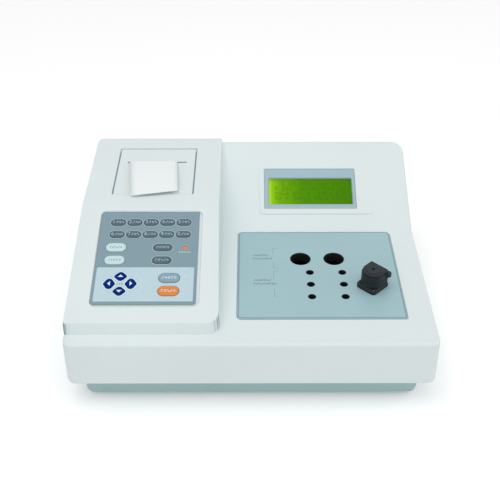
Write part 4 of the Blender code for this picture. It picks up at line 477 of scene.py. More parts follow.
SOFT_EDGES = smoother("soft_edges", SMOOTH_ANGLE)
SOFT_HOUSING = smoother("soft_housing", HOUSING_SMOOTH_ANGLE)


def soften(piece, group=SOFT_EDGES):
    piece.modifiers.new("soft_edges", "NODES").node_group = group
    piece.modifiers.new("weighted_normals", "WEIGHTED_NORMAL").keep_sharp = True
    return piece


for name, node in nodes.items():
    for slot in node.material_slots:
        slot.material = look_of(name)
    soften(node, SOFT_HOUSING if name == "upper_case" else SOFT_EDGES)


# Outlines: lists of points, counterclockwise

LEAF_SPREAD, LEAF_GROWTH = 1.18, 1.3
LEAF_SIDE_ROUND, LEAF_END_ROUND = 0.0014, 0.0028
PILL_FULLNESS = 0.999


def corner_loop(corners, steps=5):
    """Round a polygon's corners, given counterclockwise as (x, y, radius)."""
    loop = []
    for index, (x, y, radius) in enumerate(corners):
        corner = Vector((x, y))
        inward = (corner - Vector(corners[index - 1][:2])).normalized()
        onward = (Vector(corners[(index + 1) % len(corners)][:2]) - corner).normalized()
        turn = math.atan2(inward.cross(onward), inward.dot(onward))
        outward = Vector((inward.y, -inward.x))
        centre = corner - inward * radius * math.tan(turn / 2) - outward * radius
        for step in range(steps + 1 if radius > 0 else 1):
            angle = turn * step / steps if radius > 0 else turn / 2
            direction = Vector((outward.x * math.cos(angle) - outward.y * math.sin(angle),
                                outward.x * math.sin(angle) + outward.y * math.cos(angle)))
            loop.append(centre + direction * radius)
    return loop


def block(width, length, centre=(0, 0), radius=0):
    x, y = centre
    half_x, half_y = width / 2, length / 2
    return corner_loop([(x - half_x, y - half_y, radius), (x + half_x, y - half_y, radius),
                        (x + half_x, y + half_y, radius), (x - half_x, y + half_y, radius)])


def pill(width, length, centre, grow=0):
    radius = min(width, length) / 2 + grow
    return block(width + 2 * grow, length + 2 * grow, centre, radius * PILL_FULLNESS)


def leaf(width, length, centre, grow=0):
    """Return an arrow key's outline, a diamond with well rounded corners."""
    x, y = centre
    half_x = (width / 2) * LEAF_SPREAD + grow * LEAF_GROWTH
    half_y = (length / 2) * LEAF_SPREAD + grow * LEAF_GROWTH
    side_round, end_round = LEAF_SIDE_ROUND + grow, LEAF_END_ROUND + grow
    return corner_loop([(x - half_x, y, side_round), (x, y - half_y, end_round),
                        (x + half_x, y, side_round), (x, y + half_y, end_round)])


def circle_loop(radius, centre=(0, 0), sides=32):
    return [(centre[0] + radius * math.cos(2 * math.pi * i / sides),
             centre[1] + radius * math.sin(2 * math.pi * i / sides)) for i in range(sides)]


# Meshes and pieces

def world_of(frame_of):
    if isinstance(frame_of, Matrix):
        return frame_of
    origin, slope = frame_of
    return Matrix.Translation(origin) @ Matrix.Rotation(slope, 4, "X")


def shown(name, data):
    holder = bpy.data.objects.new(name, data)
    bpy.context.scene.collection.objects.link(holder)
    return holder


def baked(name, holder):
    """Return the mesh that an object gives with its modifiers, and drop the object."""
    bpy.context.view_layer.update()
    mesh = bpy.data.meshes.new_from_object(
        holder.evaluated_get(bpy.context.evaluated_depsgraph_get()))
    bpy.data.objects.remove(holder)
    mesh.name = name
    return mesh


def meshed(name, bm):
    mesh = bpy.data.meshes.new(name)
    bm.to_mesh(mesh)
    bm.free()
    return mesh


def join_rings(bm, lower, upper):
    """Join two loops of equally many points by a band of faces."""
    for i in range(len(lower)):
        j = (i + 1) % len(lower)
        bm.faces.new((lower[i], lower[j], upper[j], upper[i]))


def lofted(name, rings):
    """Return a closed mesh through loops of equally many points, each with its level."""
    bm = bmesh.new()
    loops = [[bm.verts.new((x, y, level)) for x, y in loop] for loop, level in rings]
    for lower, upper in zip(loops, loops[1:]):
        join_rings(bm, lower, upper)
    bm.faces.new(loops[0])
    bm.faces.new(loops[-1])
    bmesh.ops.recalc_face_normals(bm, faces=bm.faces)
    return meshed(name, bm)


def tube(name, radius, low, high, sides=32):
    loop = circle_loop(radius, sides=sides)
    return lofted(name, [(loop, low), (loop, high)])


def combined(name, first, others):
    """Join meshes to the first one, or cut them from it, and return the result."""
    holder = shown(name, first)
    tools = []
    for operation, mesh in others:
        tools.append(shown(mesh.name, mesh))
        step = holder.modifiers.new(mesh.name, "BOOLEAN")
        step.operation, step.solver, step.object = operation, "EXACT", tools[-1]
    mesh = baked(name, holder)
    for tool in tools:
        bpy.data.objects.remove(tool)
    return mesh


def placed(mesh, place):
    mesh.transform(Matrix.Translation(place))
    return mesh


def on_slope(mesh, frame_of):
    mesh.transform(world_of(frame_of))
    return mesh


def as_piece(name, mesh, material, body):
    piece = shown(name, mesh)
    mesh.materials.clear()
    mesh.materials.append(material)
    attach(piece, body)
    return piece


def printed(name, loops, level, material, frame_of, body, thickness=INK):
    """Lay a thin shape on a face, print and painted glow alike; a loop inside another is a hole."""
    curve = bpy.data.curves.new(name, "CURVE")
    curve.dimensions = "2D"
    curve.fill_mode = "BOTH"
    curve.extrude = thickness / 2
    for loop in loops:
        spline = curve.splines.new("POLY")
        spline.points.add(len(loop) - 1)
        for point, (x, y) in zip(spline.points, loop):
            point.co = (x, y, 0, 1)
        spline.use_cyclic_u = True
    mesh = placed(baked(name, shown(name + "_curve", curve)), (0, 0, level + thickness / 2))
    return as_piece(name, on_slope(mesh, frame_of), material, body)


# Signs that stand for printed words: each is a few bars (x, y, width, height) in a unit cell

STROKES = (
    ((0, 0.70, 1, 0.26), (0, 0.12, 0.6, 0.26)),
    ((0, 0, 0.26, 1), (0.56, 0.2, 0.44, 0.6)),
    ((0, 0.22, 1, 0.28), (0.34, 0.68, 0.32, 0.32)),
    ((0, 0, 0.44, 0.44), (0.56, 0.56, 0.44, 0.44)),
    ((0, 0.56, 0.44, 0.44), (0.56, 0, 0.44, 0.44)),
    ((0, 0.08, 1, 0.24), (0.06, 0.56, 0.34, 0.4), (0.6, 0.56, 0.34, 0.4)),
)
SIGN_GAP_SHARE, SIGN_FILL, SIGN_TAPER = 0.35, 0.97, 0.01
SIGN_STEP, SEED_STEP = 5, 3
FONT_SCALE = 1.4


def marks(x, y, count, height, seed=0, stretch=0.75):
    """Return a row of made-up signs, centred on x, that stands for a printed word."""
    loops = []
    width = height * stretch
    pitch = width * (1 + SIGN_GAP_SHARE)
    start = x - (count * pitch - width * SIGN_GAP_SHARE) / 2
    for index in range(count):
        left = start + index * pitch
        for u, v, wide, tall in STROKES[(index * SIGN_STEP + seed * SEED_STEP) % len(STROKES)]:
            fill = SIGN_FILL - SIGN_TAPER * (1 + v)
            loops.append(block(wide * width * fill, tall * height * fill,
                               (left + (u + wide / 2) * width,
                                y + (v + tall / 2 - 0.5) * height)))
    return loops


def digit_mesh(name, text, x, y, height):
    """Return a number as a thin mesh on the keys' tops."""
    curve = bpy.data.curves.new(name, "FONT")
    curve.body = text
    curve.size = height * FONT_SCALE
    curve.extrude = INK / 2
    curve.align_x = "CENTER"
    curve.align_y = "CENTER"
    mesh = placed(baked(name, shown(name + "_text", curve)), (x, y, KEY_TOP + INK / 2))
    return on_slope(mesh, KEYPAD)


# Measuring port, in the shape that the photograph shows

PORT_PLACE = Vector((0.1024, -0.0509, 0.0672))
FOOT_REACH, TRUNK_REACH, SCREW_REACH = 0.0140, 0.0126, 0.0111
LUG_ROUND, TRUNK_ROUND, SHARP_ROUND = 0.0032, 0.0086, 0.0008
FOOT_EDGE, FOOT_TOP, FOOT_BEVEL = 0.0031, 0.0038, 0.0007
TRUNK_LOW, TRUNK_TOP, TRUNK_GROWTH = 0.0019, 0.0096, 0.0006
BORE_RADIUS, BORE_LOW, BORE_HIGH = 0.0046, -0.0010, 0.0110
CAP_SEAT = 0.0099
CAP_RINGS = ((TRUNK_GROWTH, 0), (TRUNK_GROWTH, 0.0050), (0, 0.0051), (0, 0.0067),
             (-0.0002, 0.0072), (-0.0007, 0.0074))
BOSS_RINGS = ((0.0066, 0.0060), (0.0066, 0.0076), (0.0062, 0.0079), (0.0058, 0.0080))
TAB_ROOT, TAB_END, TAB_HALF, TAB_ROUND = 0.0063, 0.0156, 0.0035, 0.0031
TAB_LOW, TAB_HIGH, TAB_ROOT_ROUND = 0.00125, 0.0036, 0.0001
SPIGOT_RADIUS, SPIGOT_LOW, SPIGOT_HIGH = 0.0043, -0.0030, 0.0025
TIP_RADIUS, TIP_LOW, TIP_HIGH = 0.00125, -0.0040, 0.0090
SCREW_RINGS = ((0.0011, -0.0001), (0.0011, 0.0004), (0.0006, 0.0008))
SLIT_WIDTH, SLIT_LENGTH, SLIT_LOW, SLIT_HIGH = 0.0003, 0.0011, 0.0004, 0.0012


def diamond(reach, round_radius, grow=0):
    """Return a square on its corner, with its left and front corners rounded off more."""
    out = reach + grow * math.sqrt(2)
    return corner_loop([(0, -out, round_radius + grow), (out, 0, SHARP_ROUND + grow),
                        (0, out, SHARP_ROUND + grow), (-out, 0, round_radius + grow)], steps=8)


def make_port_base():
    foot = [(diamond(FOOT_REACH, LUG_ROUND), 0), (diamond(FOOT_REACH, LUG_ROUND), FOOT_EDGE),
            (diamond(FOOT_REACH, LUG_ROUND, -FOOT_BEVEL), FOOT_TOP)]
    trunk = [(diamond(TRUNK_REACH, TRUNK_ROUND, TRUNK_GROWTH), level)
             for level in (TRUNK_LOW, TRUNK_TOP)]
    base = combined("port_base_form", lofted("port_foot", foot), [
        ("UNION", lofted("port_trunk", trunk)),
        ("DIFFERENCE", tube("port_bore", BORE_RADIUS, BORE_LOW, BORE_HIGH))])
    piece = as_piece("port_base_form", placed(base, PORT_PLACE), PORT, "housing")
    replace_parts(soften(piece), "port_base")


def make_port_cap():
    lid = [(diamond(TRUNK_REACH, TRUNK_ROUND, grow), level) for grow, level in CAP_RINGS]
    boss = [(circle_loop(radius), level) for radius, level in BOSS_RINGS]
    tab_loop = corner_loop([(TAB_ROOT, -TAB_HALF, TAB_ROOT_ROUND), (TAB_END, -TAB_HALF, TAB_ROUND),
                            (TAB_END, TAB_HALF, TAB_ROUND), (TAB_ROOT, TAB_HALF, TAB_ROOT_ROUND)])
    cap = combined("port_cap_form", lofted("port_lid", lid), [
        ("UNION", lofted("port_boss", boss)),
        ("UNION", lofted("port_tab", [(tab_loop, TAB_LOW), (tab_loop, TAB_HIGH)])),
        ("UNION", tube("port_spigot", SPIGOT_RADIUS, SPIGOT_LOW, SPIGOT_HIGH)),
        ("DIFFERENCE", tube("port_tip", TIP_RADIUS, TIP_LOW, TIP_HIGH))])
    piece = as_piece("port_cap_form", placed(cap, PORT_PLACE + Vector((0, 0, CAP_SEAT))), PORT,
                     "port_lid")
    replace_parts(soften(piece), "port_cap")


def make_port_screw(side, x, y):
    head = lofted("head", [(circle_loop(radius), level) for radius, level in SCREW_RINGS])
    slit_loop = block(SLIT_WIDTH, SLIT_LENGTH)
    slit = lofted("slit", [(slit_loop, SLIT_LOW), (slit_loop, SLIT_HIGH)])
    screw = combined(f"port_screw_{side}_form", head, [("DIFFERENCE", slit)])
    piece = as_piece(f"port_screw_{side}_form", placed(screw, PORT_PLACE + Vector((x, y, FOOT_TOP))),
                     BURNISHED, "housing")
    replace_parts(piece, f"port_screw_{side}")


make_port_base()
make_port_cap()
make_port_screw("left", -SCREW_REACH, 0)
make_port_screw("front", 0, -SCREW_REACH)


# Paper strip, lying flatter and longer than the node

PAPER_WIDTH, PAPER_THICK, STRIP_ROWS, STRIP_COLUMNS = 0.0445, 0.0002, 32, 8
STRIP_X, STRIP_Y, STRIP_LOW, STRIP_REST, STRIP_TURN = -0.0031, 0.0139, -0.0040, 0.0006, 0.0010
STRIP_REACH, STRIP_TEAR, STRIP_ARCH, STRIP_LIFT = 0.0566, 0.0059, 0.0029, 0.0015
STRIP_DRIFT, STRIP_NARROWING = 0.0052, 0.0030
RISE_SHARE, TURN_SHARE = 0.12, 0.18


def strip_point(share, across):
    """Return a point of the paper, share along its length and across from -1 to 1."""
    y, z, forward = STRIP_Y, STRIP_LOW + (STRIP_REST - STRIP_LOW) * share / RISE_SHARE, 0
    if share >= RISE_SHARE:
        angle = math.pi / 2 * min(1, (share - RISE_SHARE) / TURN_SHARE)
        y += STRIP_TURN * (math.cos(angle) - 1)
        z = STRIP_REST + STRIP_TURN * math.sin(angle)
    if share > RISE_SHARE + TURN_SHARE:
        forward = (share - RISE_SHARE - TURN_SHARE) / (1 - RISE_SHARE - TURN_SHARE)
        rightward = (across + 1) / 2
        y -= forward * (STRIP_REACH - STRIP_TEAR * rightward)
        z = (STRIP_REST + STRIP_TURN * (1 - forward) ** 3 + STRIP_ARCH * math.sin(math.pi * forward)
             + STRIP_LIFT * (1 + rightward) * forward ** 2)
    return (STRIP_X + STRIP_DRIFT * forward
            + across * (PAPER_WIDTH - STRIP_NARROWING * forward) / 2, y, z)


def make_paper_strip():
    bm = bmesh.new()
    bmesh.ops.create_grid(bm, x_segments=STRIP_COLUMNS, y_segments=STRIP_ROWS, size=1)
    for vert in bm.verts:
        vert.co = strip_point((1 - vert.co.y) / 2, vert.co.x)
    mesh = meshed("paper_sheet", bm)
    for polygon in mesh.polygons:
        polygon.use_smooth = True
    sheet = shown("paper_sheet", mesh)
    thick = sheet.modifiers.new("thickness", "SOLIDIFY")
    thick.thickness, thick.offset = PAPER_THICK, 0
    mesh = on_slope(baked("paper_strip_form", sheet), PRINTER)
    piece = as_piece("paper_strip_form", mesh, PAPER, "printer_lid")
    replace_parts(piece, "paper_strip")


make_paper_strip()


# Painted shade: grey strips low in the long gaps beside the printer's cover, which set how dark the
# gaps look

COVER_WIDTH, COVER_LENGTH, COVER_GAP = 0.0709, 0.0757, 0.0014
GAP_SHADE_OUTWARD, GAP_SHADE_ROUND, GAP_SHADE_LOW, GAP_SHADE_TOP = 0.0001, 0.0002, -0.0014, -0.0009


def make_cover_gap_shade(word, side):
    centre = (side * ((COVER_WIDTH + COVER_GAP) / 2 + GAP_SHADE_OUTWARD), 0)
    loop = block(COVER_GAP, COVER_LENGTH, centre, GAP_SHADE_ROUND)
    # a grey sheet put where the gap holds only shade, so that the gap shows as a grey line
    gap_shade = lofted(f"cover_gap_shade_{word}", [(loop, GAP_SHADE_LOW), (loop, GAP_SHADE_TOP)])
    as_piece(f"cover_gap_shade_{word}", on_slope(gap_shade, PRINTER), PANEL, "housing")


make_cover_gap_shade("left", -1)
make_cover_gap_shade("right", 1)


# Black liners in the wells, nearly flush with the plate

WELLS_RIGHT, LARGE_WELL, SMALL_WELL = 0.0790, 0.00925, 0.00357
LINER_WALL, LINER_FIT, LINER_TOP, LINER_BOTTOM = 0.0005, 0.00003, -0.0001, -0.0090
LARGE_SHARES = [(across, 0.1596) for across in (0.2547, 0.0424)]
SMALL_SHARES = [(across, along) for across in (0.2022, 0) for along in (-0.0008, -0.1360, -0.2712)]
PLATE_LOW, PLATE_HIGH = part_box("well_plate")


def make_well_liner(name, radius, share_across, share_along):
    """Line one well; its place is in shares of the plate's width and length."""
    size, middle = PLATE_HIGH - PLATE_LOW, (PLATE_LOW + PLATE_HIGH) / 2
    bore = tube("bore", radius - LINER_WALL, LINER_BOTTOM - LINER_WALL, LINER_TOP + LINER_WALL, 48)
    liner = combined(name, tube(name, radius - LINER_FIT, LINER_BOTTOM, LINER_TOP, 48),
                     [("DIFFERENCE", bore)])
    place = (WELLS_RIGHT - share_across * size.x, middle.y + share_along * size.y, PLATE_HIGH.z)
    as_piece(name, placed(liner, place), BLACK, "housing")


for kind, radius, shares in (("large", LARGE_WELL, LARGE_SHARES), ("small", SMALL_WELL, SMALL_SHARES)):
    for index, (across, along) in enumerate(shares):
        make_well_liner(f"well_liner_{kind}_{index}", radius, across, along)


# Keypad: sizes and centres, over the middle of its slope

PANEL_WIDTH, PANEL_LENGTH, PANEL_CENTRE, PANEL_ROUND = 0.0850, 0.1000, (-0.0011, 0.0006), 0.0024
RECESS_WIDTH, RECESS_LENGTH, RECESS_ROUND, RIM_GAP = 0.0885, 0.1034, 0.0060, 0.00035
NUMBER_KEY, FUNCTION_KEY = (0.0124, 0.0072), (0.0160, 0.0076)
SOFT_KEY, ENTRY_KEY = (0.0170, 0.0092), (0.0174, 0.0098)
KEY_GAP, NUMBER_PITCH, NUMBER_ROWS = 0.0003, 0.0142, (0.0381, 0.0244)
NUMBERS = [(f"key_{row * 5 + column}", ((column - 2) * NUMBER_PITCH, y))
           for row, y in enumerate(NUMBER_ROWS) for column in range(5)]
RIGHT_KEYS = (("key_right_upper", (0.0117, 0.0099)), ("key_right_lower", (0.0117, -0.0039)))
LEFT_KEYS = (("key_left_upper", (-0.0279, 0.0099)), ("key_left_lower", (-0.0279, -0.0039)))
ENTRY_KEYS = (("key_menu", (0.0190, -0.0227)), ("key_enter", (0.0190, -0.0361)))
ARROWS_CENTRE = (-0.0211, -0.0287)
TALL_ARROW, WIDE_ARROW = (0.0082, 0.0125), (0.0095, 0.00915)
ARROWS = (("up", (-0.0211, -0.0211), WIDE_ARROW), ("down", (-0.0211, -0.0363), WIDE_ARROW),
          ("left", (-0.0300, -0.0287), TALL_ARROW), ("right", (-0.0122, -0.0287), TALL_ARROW))
ARROW_TURNS = {"up": 0, "left": math.pi / 2, "down": math.pi, "right": -math.pi / 2}
ARROW_SIGN = ((-0.0023, -0.0009), (0.0023, -0.0009), (0.0, 0.0015))
ARROW_RINGS = ((0, -0.0012), (0, KEY_TOP - 0.0002), (-0.00006, KEY_TOP - 0.00006), (-0.0002, KEY_TOP))
PRINT_GAP = KEY_GAP + 0.0001
NUMBER_RING, FUNCTION_RING, HALO = KEY_GAP + 0.00055, KEY_GAP + 0.00065, KEY_GAP + 0.0008
FIELD_LEFT, FIELD_RIGHT, FIELD_LOW, FIELD_HIGH = -0.0416, 0.0392, -0.0465, -0.0115
FIELD_FRONT_ROUND, FIELD_BACK_ROUND = 0.0008, 0.0014
LAMP, LAMP_HOLE, LAMP_RING, LAMP_RING_HOLE = (0.0307, 0.0097), 0.0018, 0.0029, 0.0019
LAMP_SIGNS, LAMP_SIGNS_Y, CENTRE_SIGNS = 0.0015, 0.0048, 0.0019
DIGIT_SHIFT, DIGIT_HEIGHT, SIGNS_SHIFT = -0.0038, 0.0034, 0.0016
NUMBER_SIGNS, RIGHT_SIGNS, LEFT_SIGNS, ENTRY_SIGNS = 0.0024, 0.0023, 0.0022, 0.0025


def panel_loop(grow):
    return block(PANEL_WIDTH + 2 * grow, PANEL_LENGTH + 2 * grow, PANEL_CENTRE, PANEL_ROUND + grow)


def make_keypad_panel():
    """Make the panel with its windows, and the rim that fills the recess round it."""
    windows = [panel_loop(0), circle_loop(LAMP_HOLE, LAMP)]
    for keys, size in ((NUMBERS, NUMBER_KEY), (RIGHT_KEYS, FUNCTION_KEY), (LEFT_KEYS, SOFT_KEY),
                       (ENTRY_KEYS, ENTRY_KEY)):
        windows += [pill(*size, centre, KEY_GAP) for _, centre in keys]
    windows += [leaf(*size, centre, KEY_GAP) for _, centre, size in ARROWS]
    panel = printed("keypad_panel_form", windows, PANEL_LOW, PANEL, KEYPAD, "housing",
                    PANEL_TOP - PANEL_LOW)
    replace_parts(panel, "keypad_panel")
    rim = [block(RECESS_WIDTH, RECESS_LENGTH, (0, 0), RECESS_ROUND), panel_loop(RIM_GAP)]
    printed("keypad_rim", rim, PANEL_LOW, WHITE, KEYPAD, "housing", -PANEL_LOW)


def make_arrow_key(name, centre, size):
    mesh = lofted(f"key_arrow_{name}_form",
                  [(leaf(*size, centre, grow), level) for grow, level in ARROW_RINGS])
    piece = as_piece(f"key_arrow_{name}_form", on_slope(mesh, KEYPAD), KEY_BLUE,
                     f"key_arrow_{name}_cap")
    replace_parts(piece, f"key_arrow_{name}")


def panel_layer(name, loops, material, level=PANEL_TOP):
    printed(name, loops, level, material, KEYPAD, "housing")


def key_print(key, loops, material, word="signs"):
    printed(f"{key}_{word}", loops, KEY_TOP, material, KEYPAD, key + "_cap")


def print_panel():
    """Print the rings, the pale field, the halos and the signs on the panel, and lay a painted glow
    round the lamp.
    """
    rings = []
    for keys, size, ring in ((NUMBERS, NUMBER_KEY, NUMBER_RING),
                             (RIGHT_KEYS, FUNCTION_KEY, FUNCTION_RING)):
        for _, centre in keys:
            rings += [pill(*size, centre, ring), pill(*size, centre, PRINT_GAP)]
    panel_layer("keypad_key_rings", rings, INK_PALE)
    field = [corner_loop([(FIELD_LEFT, FIELD_LOW, FIELD_FRONT_ROUND),
                          (FIELD_RIGHT, FIELD_LOW, FIELD_FRONT_ROUND),
                          (FIELD_RIGHT, FIELD_HIGH, FIELD_BACK_ROUND),
                          (FIELD_LEFT, FIELD_HIGH, FIELD_BACK_ROUND)])]
    field += [pill(*ENTRY_KEY, centre, PRINT_GAP) for _, centre in ENTRY_KEYS]
    field += [leaf(*size, centre, PRINT_GAP) for _, centre, size in ARROWS]
    panel_layer("keypad_pale_field", field, INK_FIELD)
    halos = []
    for _, centre, size in ARROWS:
        halos += [leaf(*size, centre, HALO), leaf(*size, centre, PRINT_GAP)]
    panel_layer("keypad_arrow_halos", halos, INK_WHITE, PANEL_TOP + INK)
    panel_layer("keypad_centre_mark", marks(*ARROWS_CENTRE, 3, CENTRE_SIGNS, seed=1), INK_GREY,
                PANEL_TOP + INK)
    # painted glow of the lit lamp, laid on the panel as a ring round it
    panel_layer("keypad_painted_lamp_glow",
                [circle_loop(LAMP_RING, LAMP), circle_loop(LAMP_RING_HOLE, LAMP)], PAINTED_LAMP_GLOW)
    lamp_marks = marks(LAMP[0], LAMP_SIGNS_Y, 5, LAMP_SIGNS, seed=2, stretch=1.0)
    panel_layer("keypad_lamp_mark", lamp_marks, INK_WHITE)


def print_keys():
    """Print a digit and signs on each number key, and signs or an arrow on the others."""
    for index, (key, (x, y)) in enumerate(NUMBERS):
        digit = digit_mesh(key + "_digit", str((index + 1) % 10), x + DIGIT_SHIFT, y, DIGIT_HEIGHT)
        as_piece(key + "_digit", digit, INK_PALE, key + "_cap")
        key_print(key, marks(x + SIGNS_SHIFT, y, 3, NUMBER_SIGNS, index), INK_PALE)
    for keys, height, seed, material, slot in (
            (RIGHT_KEYS, RIGHT_SIGNS, 1, INK_PALE, "key_dark"),
            (LEFT_KEYS, LEFT_SIGNS, 2, INK_GREY, "key_pale"),
            (ENTRY_KEYS, ENTRY_SIGNS, 3, INK_WHITE, "key_grey")):
        for index, (key, (x, y)) in enumerate(keys):
            key_print(key, marks(x, y, 5, height, index + seed), material)
    for name, (x, y), _ in ARROWS:
        cosine, sine = math.cos(ARROW_TURNS[name]), math.sin(ARROW_TURNS[name])
        loop = [(x + u * cosine - v * sine, y + u * sine + v * cosine) for u, v in ARROW_SIGN]
        key_print(f"key_arrow_{name}", [loop], INK_WHITE, "sign")


make_keypad_panel()
for name, centre, size in ARROWS:
    make_arrow_key(name, centre, size)
print_panel()
print_keys()


# Plate prints: an edge line, captions as (x, y, signs, stretch), and their brackets

PLATE_CENTRE, PLATE_HALF = (0.0578, -0.0317), (0.0695, 0.0614)
PLATE_LEFT, PLATE_RIGHT = PLATE_CENTRE[0] - PLATE_HALF[0], PLATE_CENTRE[0] + PLATE_HALF[0]
PLATE_FRONT, PLATE_BACK = PLATE_CENTRE[1] - PLATE_HALF[1], PLATE_CENTRE[1] + PLATE_HALF[1]
PLATE_ROUND, PLATE_SHARP_ROUND = 0.004, 0.0015
EDGE_LINE_OUTER, EDGE_LINE_INNER = 0.0005, 0.0016
CAPTIONS = ((0.0083, -0.0068, 7, 0.66), (0.0100, -0.0116, 8, 0.69),
            (0.0095, -0.0427, 7, 0.68), (0.0119, -0.0475, 9, 0.71))
CAPTION_HEIGHT, BRACKET_LINE = 0.0023, 0.0004
# Each bracket's left side, low and high ends, reach, and its caption's low and high ends
BRACKETS = ((0.0192, -0.0254, 0.0039, 0.0046, -0.0167, -0.0048),
            (0.0194, -0.0645, -0.0301, 0.0041, -0.0538, -0.0413))


def plate_loop(inset):
    return corner_loop([(PLATE_LEFT + inset, PLATE_FRONT + inset, PLATE_ROUND - inset),
                        (PLATE_RIGHT - inset, PLATE_FRONT + inset, PLATE_SHARP_ROUND - inset / 2),
                        (PLATE_RIGHT - inset, PLATE_BACK - inset, PLATE_ROUND - inset),
                        (PLATE_LEFT + inset, PLATE_BACK - inset, PLATE_ROUND - inset)])


def bracket(x, low, high, reach, caption_low, caption_high):
    """Return a thin bracket that opens to the right and is broken beside its caption."""
    inner, end = x + BRACKET_LINE, x + reach
    return [[(x, low), (end, low), (end, low + BRACKET_LINE), (inner, low + BRACKET_LINE),
             (inner, caption_low), (x, caption_low)],
            [(x, caption_high), (inner, caption_high), (inner, high - BRACKET_LINE),
             (end, high - BRACKET_LINE), (end, high), (x, high)]]


def plate_print(name, loops, material):
    printed(name, loops, 0, material, DECK, "housing")


plate_print("plate_edge_line", [plate_loop(EDGE_LINE_OUTER), plate_loop(EDGE_LINE_INNER)], INK_LINE)
captions = []
for seed, (x, y, count, stretch) in enumerate(CAPTIONS, start=1):
    captions += marks(x, y, count, CAPTION_HEIGHT, seed, stretch)
plate_print("plate_captions", captions, INK_DARK)
plate_print("plate_brackets", [loop for row in BRACKETS for loop in bracket(*row)], INK_LINE)


# Case screws, in the tray's four holes

SCREW_X, SCREW_Y, SCREW_SIDES = 0.1290, 0.1020, 24
HEAD_PROFILE = ((0.0017, 0.0058), (0.0017, 0.0040), (0.0016, 0.0037), (0.0012, 0.0034))
CROSS_ARM, CROSS_WAIST, CROSS_DEPTH = 0.00095, 0.00022, 0.0008
CROSS_ANGLES = (45, 78, 102)


def cross_point(x, y, index):
    """Return one of the cross recess's twelve corners, three to each quarter."""
    reach = CROSS_ARM if index % 3 else CROSS_WAIST
    angle = math.radians(CROSS_ANGLES[index % 3] + 90 * (index // 3))
    return x + reach * math.cos(angle), y + reach * math.sin(angle)


def case_screw(name, x, y):
    """Model a pan head with a cross recess, drawn up from under the tray."""
    bm = bmesh.new()
    rings = [[bm.verts.new((*point, level)) for point in circle_loop(radius, (x, y), SCREW_SIDES)]
             for radius, level in HEAD_PROFILE]
    for upper, lower in zip(rings, rings[1:]):
        join_rings(bm, lower, upper)
    bm.faces.new(rings[0])
    level = HEAD_PROFILE[-1][1]
    cross = [bm.verts.new((*cross_point(x, y, index), level)) for index in range(12)]
    floor = [bm.verts.new((*vert.co.xy, level + CROSS_DEPTH)) for vert in cross]
    edges = [bm.edges.new(pair) for pair in zip(cross, cross[1:] + cross[:1])]
    edges += [bm.edges.get(pair) for pair in zip(rings[-1], rings[-1][1:] + rings[-1][:1])]
    bmesh.ops.triangle_fill(bm, edges=edges, use_beauty=True)
    join_rings(bm, cross, floor)
    bm.faces.new(floor)
    bmesh.ops.recalc_face_normals(bm, faces=bm.faces)
    as_piece(name, meshed(name, bm), STEEL, "housing")


for end, y in (("front", -SCREW_Y), ("rear", SCREW_Y)):
    for side, x in (("left", -SCREW_X), ("right", SCREW_X)):
        case_screw(f"case_screw_{end}_{side}", x, y)


# Back: metal on the inlet's blades and contacts in the serial socket

BLADES = ((0.0970, 0.0505), (0.1040, 0.0535), (0.1110, 0.0505))
BLADE_WIDE, BLADE_TALL, BLADE_LOW, BLADE_HIGH = 0.0021, 0.0041, 0.1112, 0.1221
CONTACT_ROWS = ((0.0534, 5), (0.0506, 4))
CONTACT_X, CONTACT_PITCH, CONTACT_SIZE = 0.0340, 0.0027, 0.0009
CONTACT_LOW, CONTACT_HIGH = 0.1200, 0.1235
SLEEVE_ROUND, NOSE_LENGTH, TIP_LENGTH, NOSE_SHARE, TIP_SHARE = 0.00035, 0.0010, 0.0003, 0.85, 0.55


def sleeve(name, x, z, wide, tall, low, high):
    """Model a thin metal blade that points backwards, with a rounded nose."""
    rings = [(block(wide * share, tall * share, (x, -z), SLEEVE_ROUND * share), level)
             for level, share in ((low, 1), (high - NOSE_LENGTH, 1),
                                  (high - TIP_LENGTH, NOSE_SHARE), (high, TIP_SHARE))]
    mesh = lofted(name, rings)
    mesh.transform(Matrix.Rotation(-math.pi / 2, 4, "X"))
    as_piece(name, mesh, BRASS, "housing")


for index, (x, z) in enumerate(BLADES):
    sleeve(f"inlet_blade_{index}", x, z, BLADE_WIDE, BLADE_TALL, BLADE_LOW, BLADE_HIGH)
for row, (z, count) in enumerate(CONTACT_ROWS):
    for index in range(count):
        x = CONTACT_X + (index - (count - 1) / 2) * CONTACT_PITCH
        sleeve(f"serial_contact_{row}_{index}", x, z, CONTACT_SIZE, CONTACT_SIZE,
               CONTACT_LOW, CONTACT_HIGH)


# Marks on the rocker switch: a bar for on and a ring for off, on its two slopes

ROCKER_PIVOT = (0.0700, 0.1190, 0.0520)
ROCKER_SWING = math.radians(7)
ROCKER_HALF, ROCKER_DISH, ROCKER_MIDDLE = 0.0070, 0.0010, 0.0045
BAR_SIZE, OFF_RING, OFF_RING_HOLE = (0.0006, 0.0030), 0.0015, 0.0010


def rocker_face(side):
    """Return the frame of the rocker's upper or lower slope, looking out of the back."""
    turn = Matrix.Rotation(-ROCKER_SWING, 4, "X")
    lean = Matrix.Rotation(-side * math.atan2(ROCKER_DISH, ROCKER_HALF), 4, "X")
    middle = Matrix.Translation((0, ROCKER_MIDDLE, side * ROCKER_HALF / 2))
    return (Matrix.Translation(ROCKER_PIVOT) @ turn @ middle @ lean
            @ Matrix.Rotation(math.pi, 4, "Z") @ Matrix.Rotation(math.pi / 2, 4, "X"))


printed("rocker_on_bar", [block(*BAR_SIZE)], 0, INK_WHITE, rocker_face(1), "rocker")
printed("rocker_off_ring", [circle_loop(OFF_RING), circle_loop(OFF_RING_HOLE)], 0, INK_WHITE,
        rocker_face(-1), "rocker")


# Stage, light and camera

LIGHT_TARGET = Vector((0, 0, 0.05))
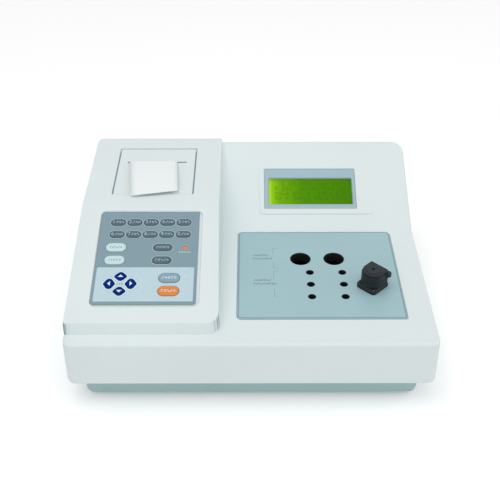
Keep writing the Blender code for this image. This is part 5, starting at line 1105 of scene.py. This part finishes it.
# Each light's name, place, size and power in watts
LIGHTS = (("key_light", (-0.30, -0.25, 1.60), (1.6, 1.2), 9.05),
          ("fill_light", (0, -1.40, 0.60), (2.4, 1.2), 2.7),
          ("side_light", (1.30, -0.10, 0.90), (1.4, 1.2), 3.4))
STUDIO_FILL = 0.57
FLOOR_REACH = 6.0
CAMERA_PLACE = (-0.0010, -0.6335, 0.5295)
CAMERA_TURN = (math.radians(53.92), math.radians(0.08), math.radians(-0.06))
LENS_LENGTH, SENSOR_WIDTH = 62.98, 36


def area_light(name, place, size, watts):
    light = bpy.data.lights.new(name, "AREA")
    light.shape = "RECTANGLE"
    light.size, light.size_y = size
    light.energy = watts
    holder = shown(name, light)
    holder.location = place
    holder.rotation_euler = (LIGHT_TARGET - Vector(place)).to_track_quat("-Z", "Y").to_euler()


def studio_world():
    """Make a background that is white where it is seen, and dimmer as a light."""
    world = bpy.data.worlds.new("studio")
    bpy.context.scene.world = world
    world.use_nodes = True
    tree = world.node_tree
    background = tree.nodes["Background"]
    background.inputs["Color"].default_value = (1, 1, 1, 1)
    rays = tree.nodes.new("ShaderNodeLightPath")
    seen = rays.outputs["Is Camera Ray"]
    for ray in ("Is Glossy Ray", "Is Transmission Ray"):
        either = tree.nodes.new("ShaderNodeMath")
        either.operation = "MAXIMUM"
        tree.links.new(seen, either.inputs[0])
        tree.links.new(rays.outputs[ray], either.inputs[1])
        seen = either.outputs[0]
    strength = tree.nodes.new("ShaderNodeMapRange")
    tree.links.new(seen, strength.inputs["Value"])
    strength.inputs["To Min"].default_value = STUDIO_FILL
    strength.inputs["To Max"].default_value = 1.0
    tree.links.new(strength.outputs["Result"], background.inputs["Strength"])


def studio_floor():
    mesh = bpy.data.meshes.new("floor")
    corners = [(x, y, 0) for x, y in block(2 * FLOOR_REACH, 2 * FLOOR_REACH)]
    mesh.from_pydata(corners, [], [(0, 1, 2, 3)])
    mesh.materials.append(floor_finish("floor_pale"))
    shown("floor", mesh)


def studio_camera():
    data = bpy.data.cameras.new("camera")
    data.lens, data.sensor_width = LENS_LENGTH, SENSOR_WIDTH
    camera = shown("camera", data)
    camera.location, camera.rotation_euler = CAMERA_PLACE, CAMERA_TURN
    bpy.context.scene.camera = camera


for light in LIGHTS:
    area_light(*light)
studio_world()
studio_floor()
studio_camera()
bpy.context.scene.view_settings.view_transform = "Standard"
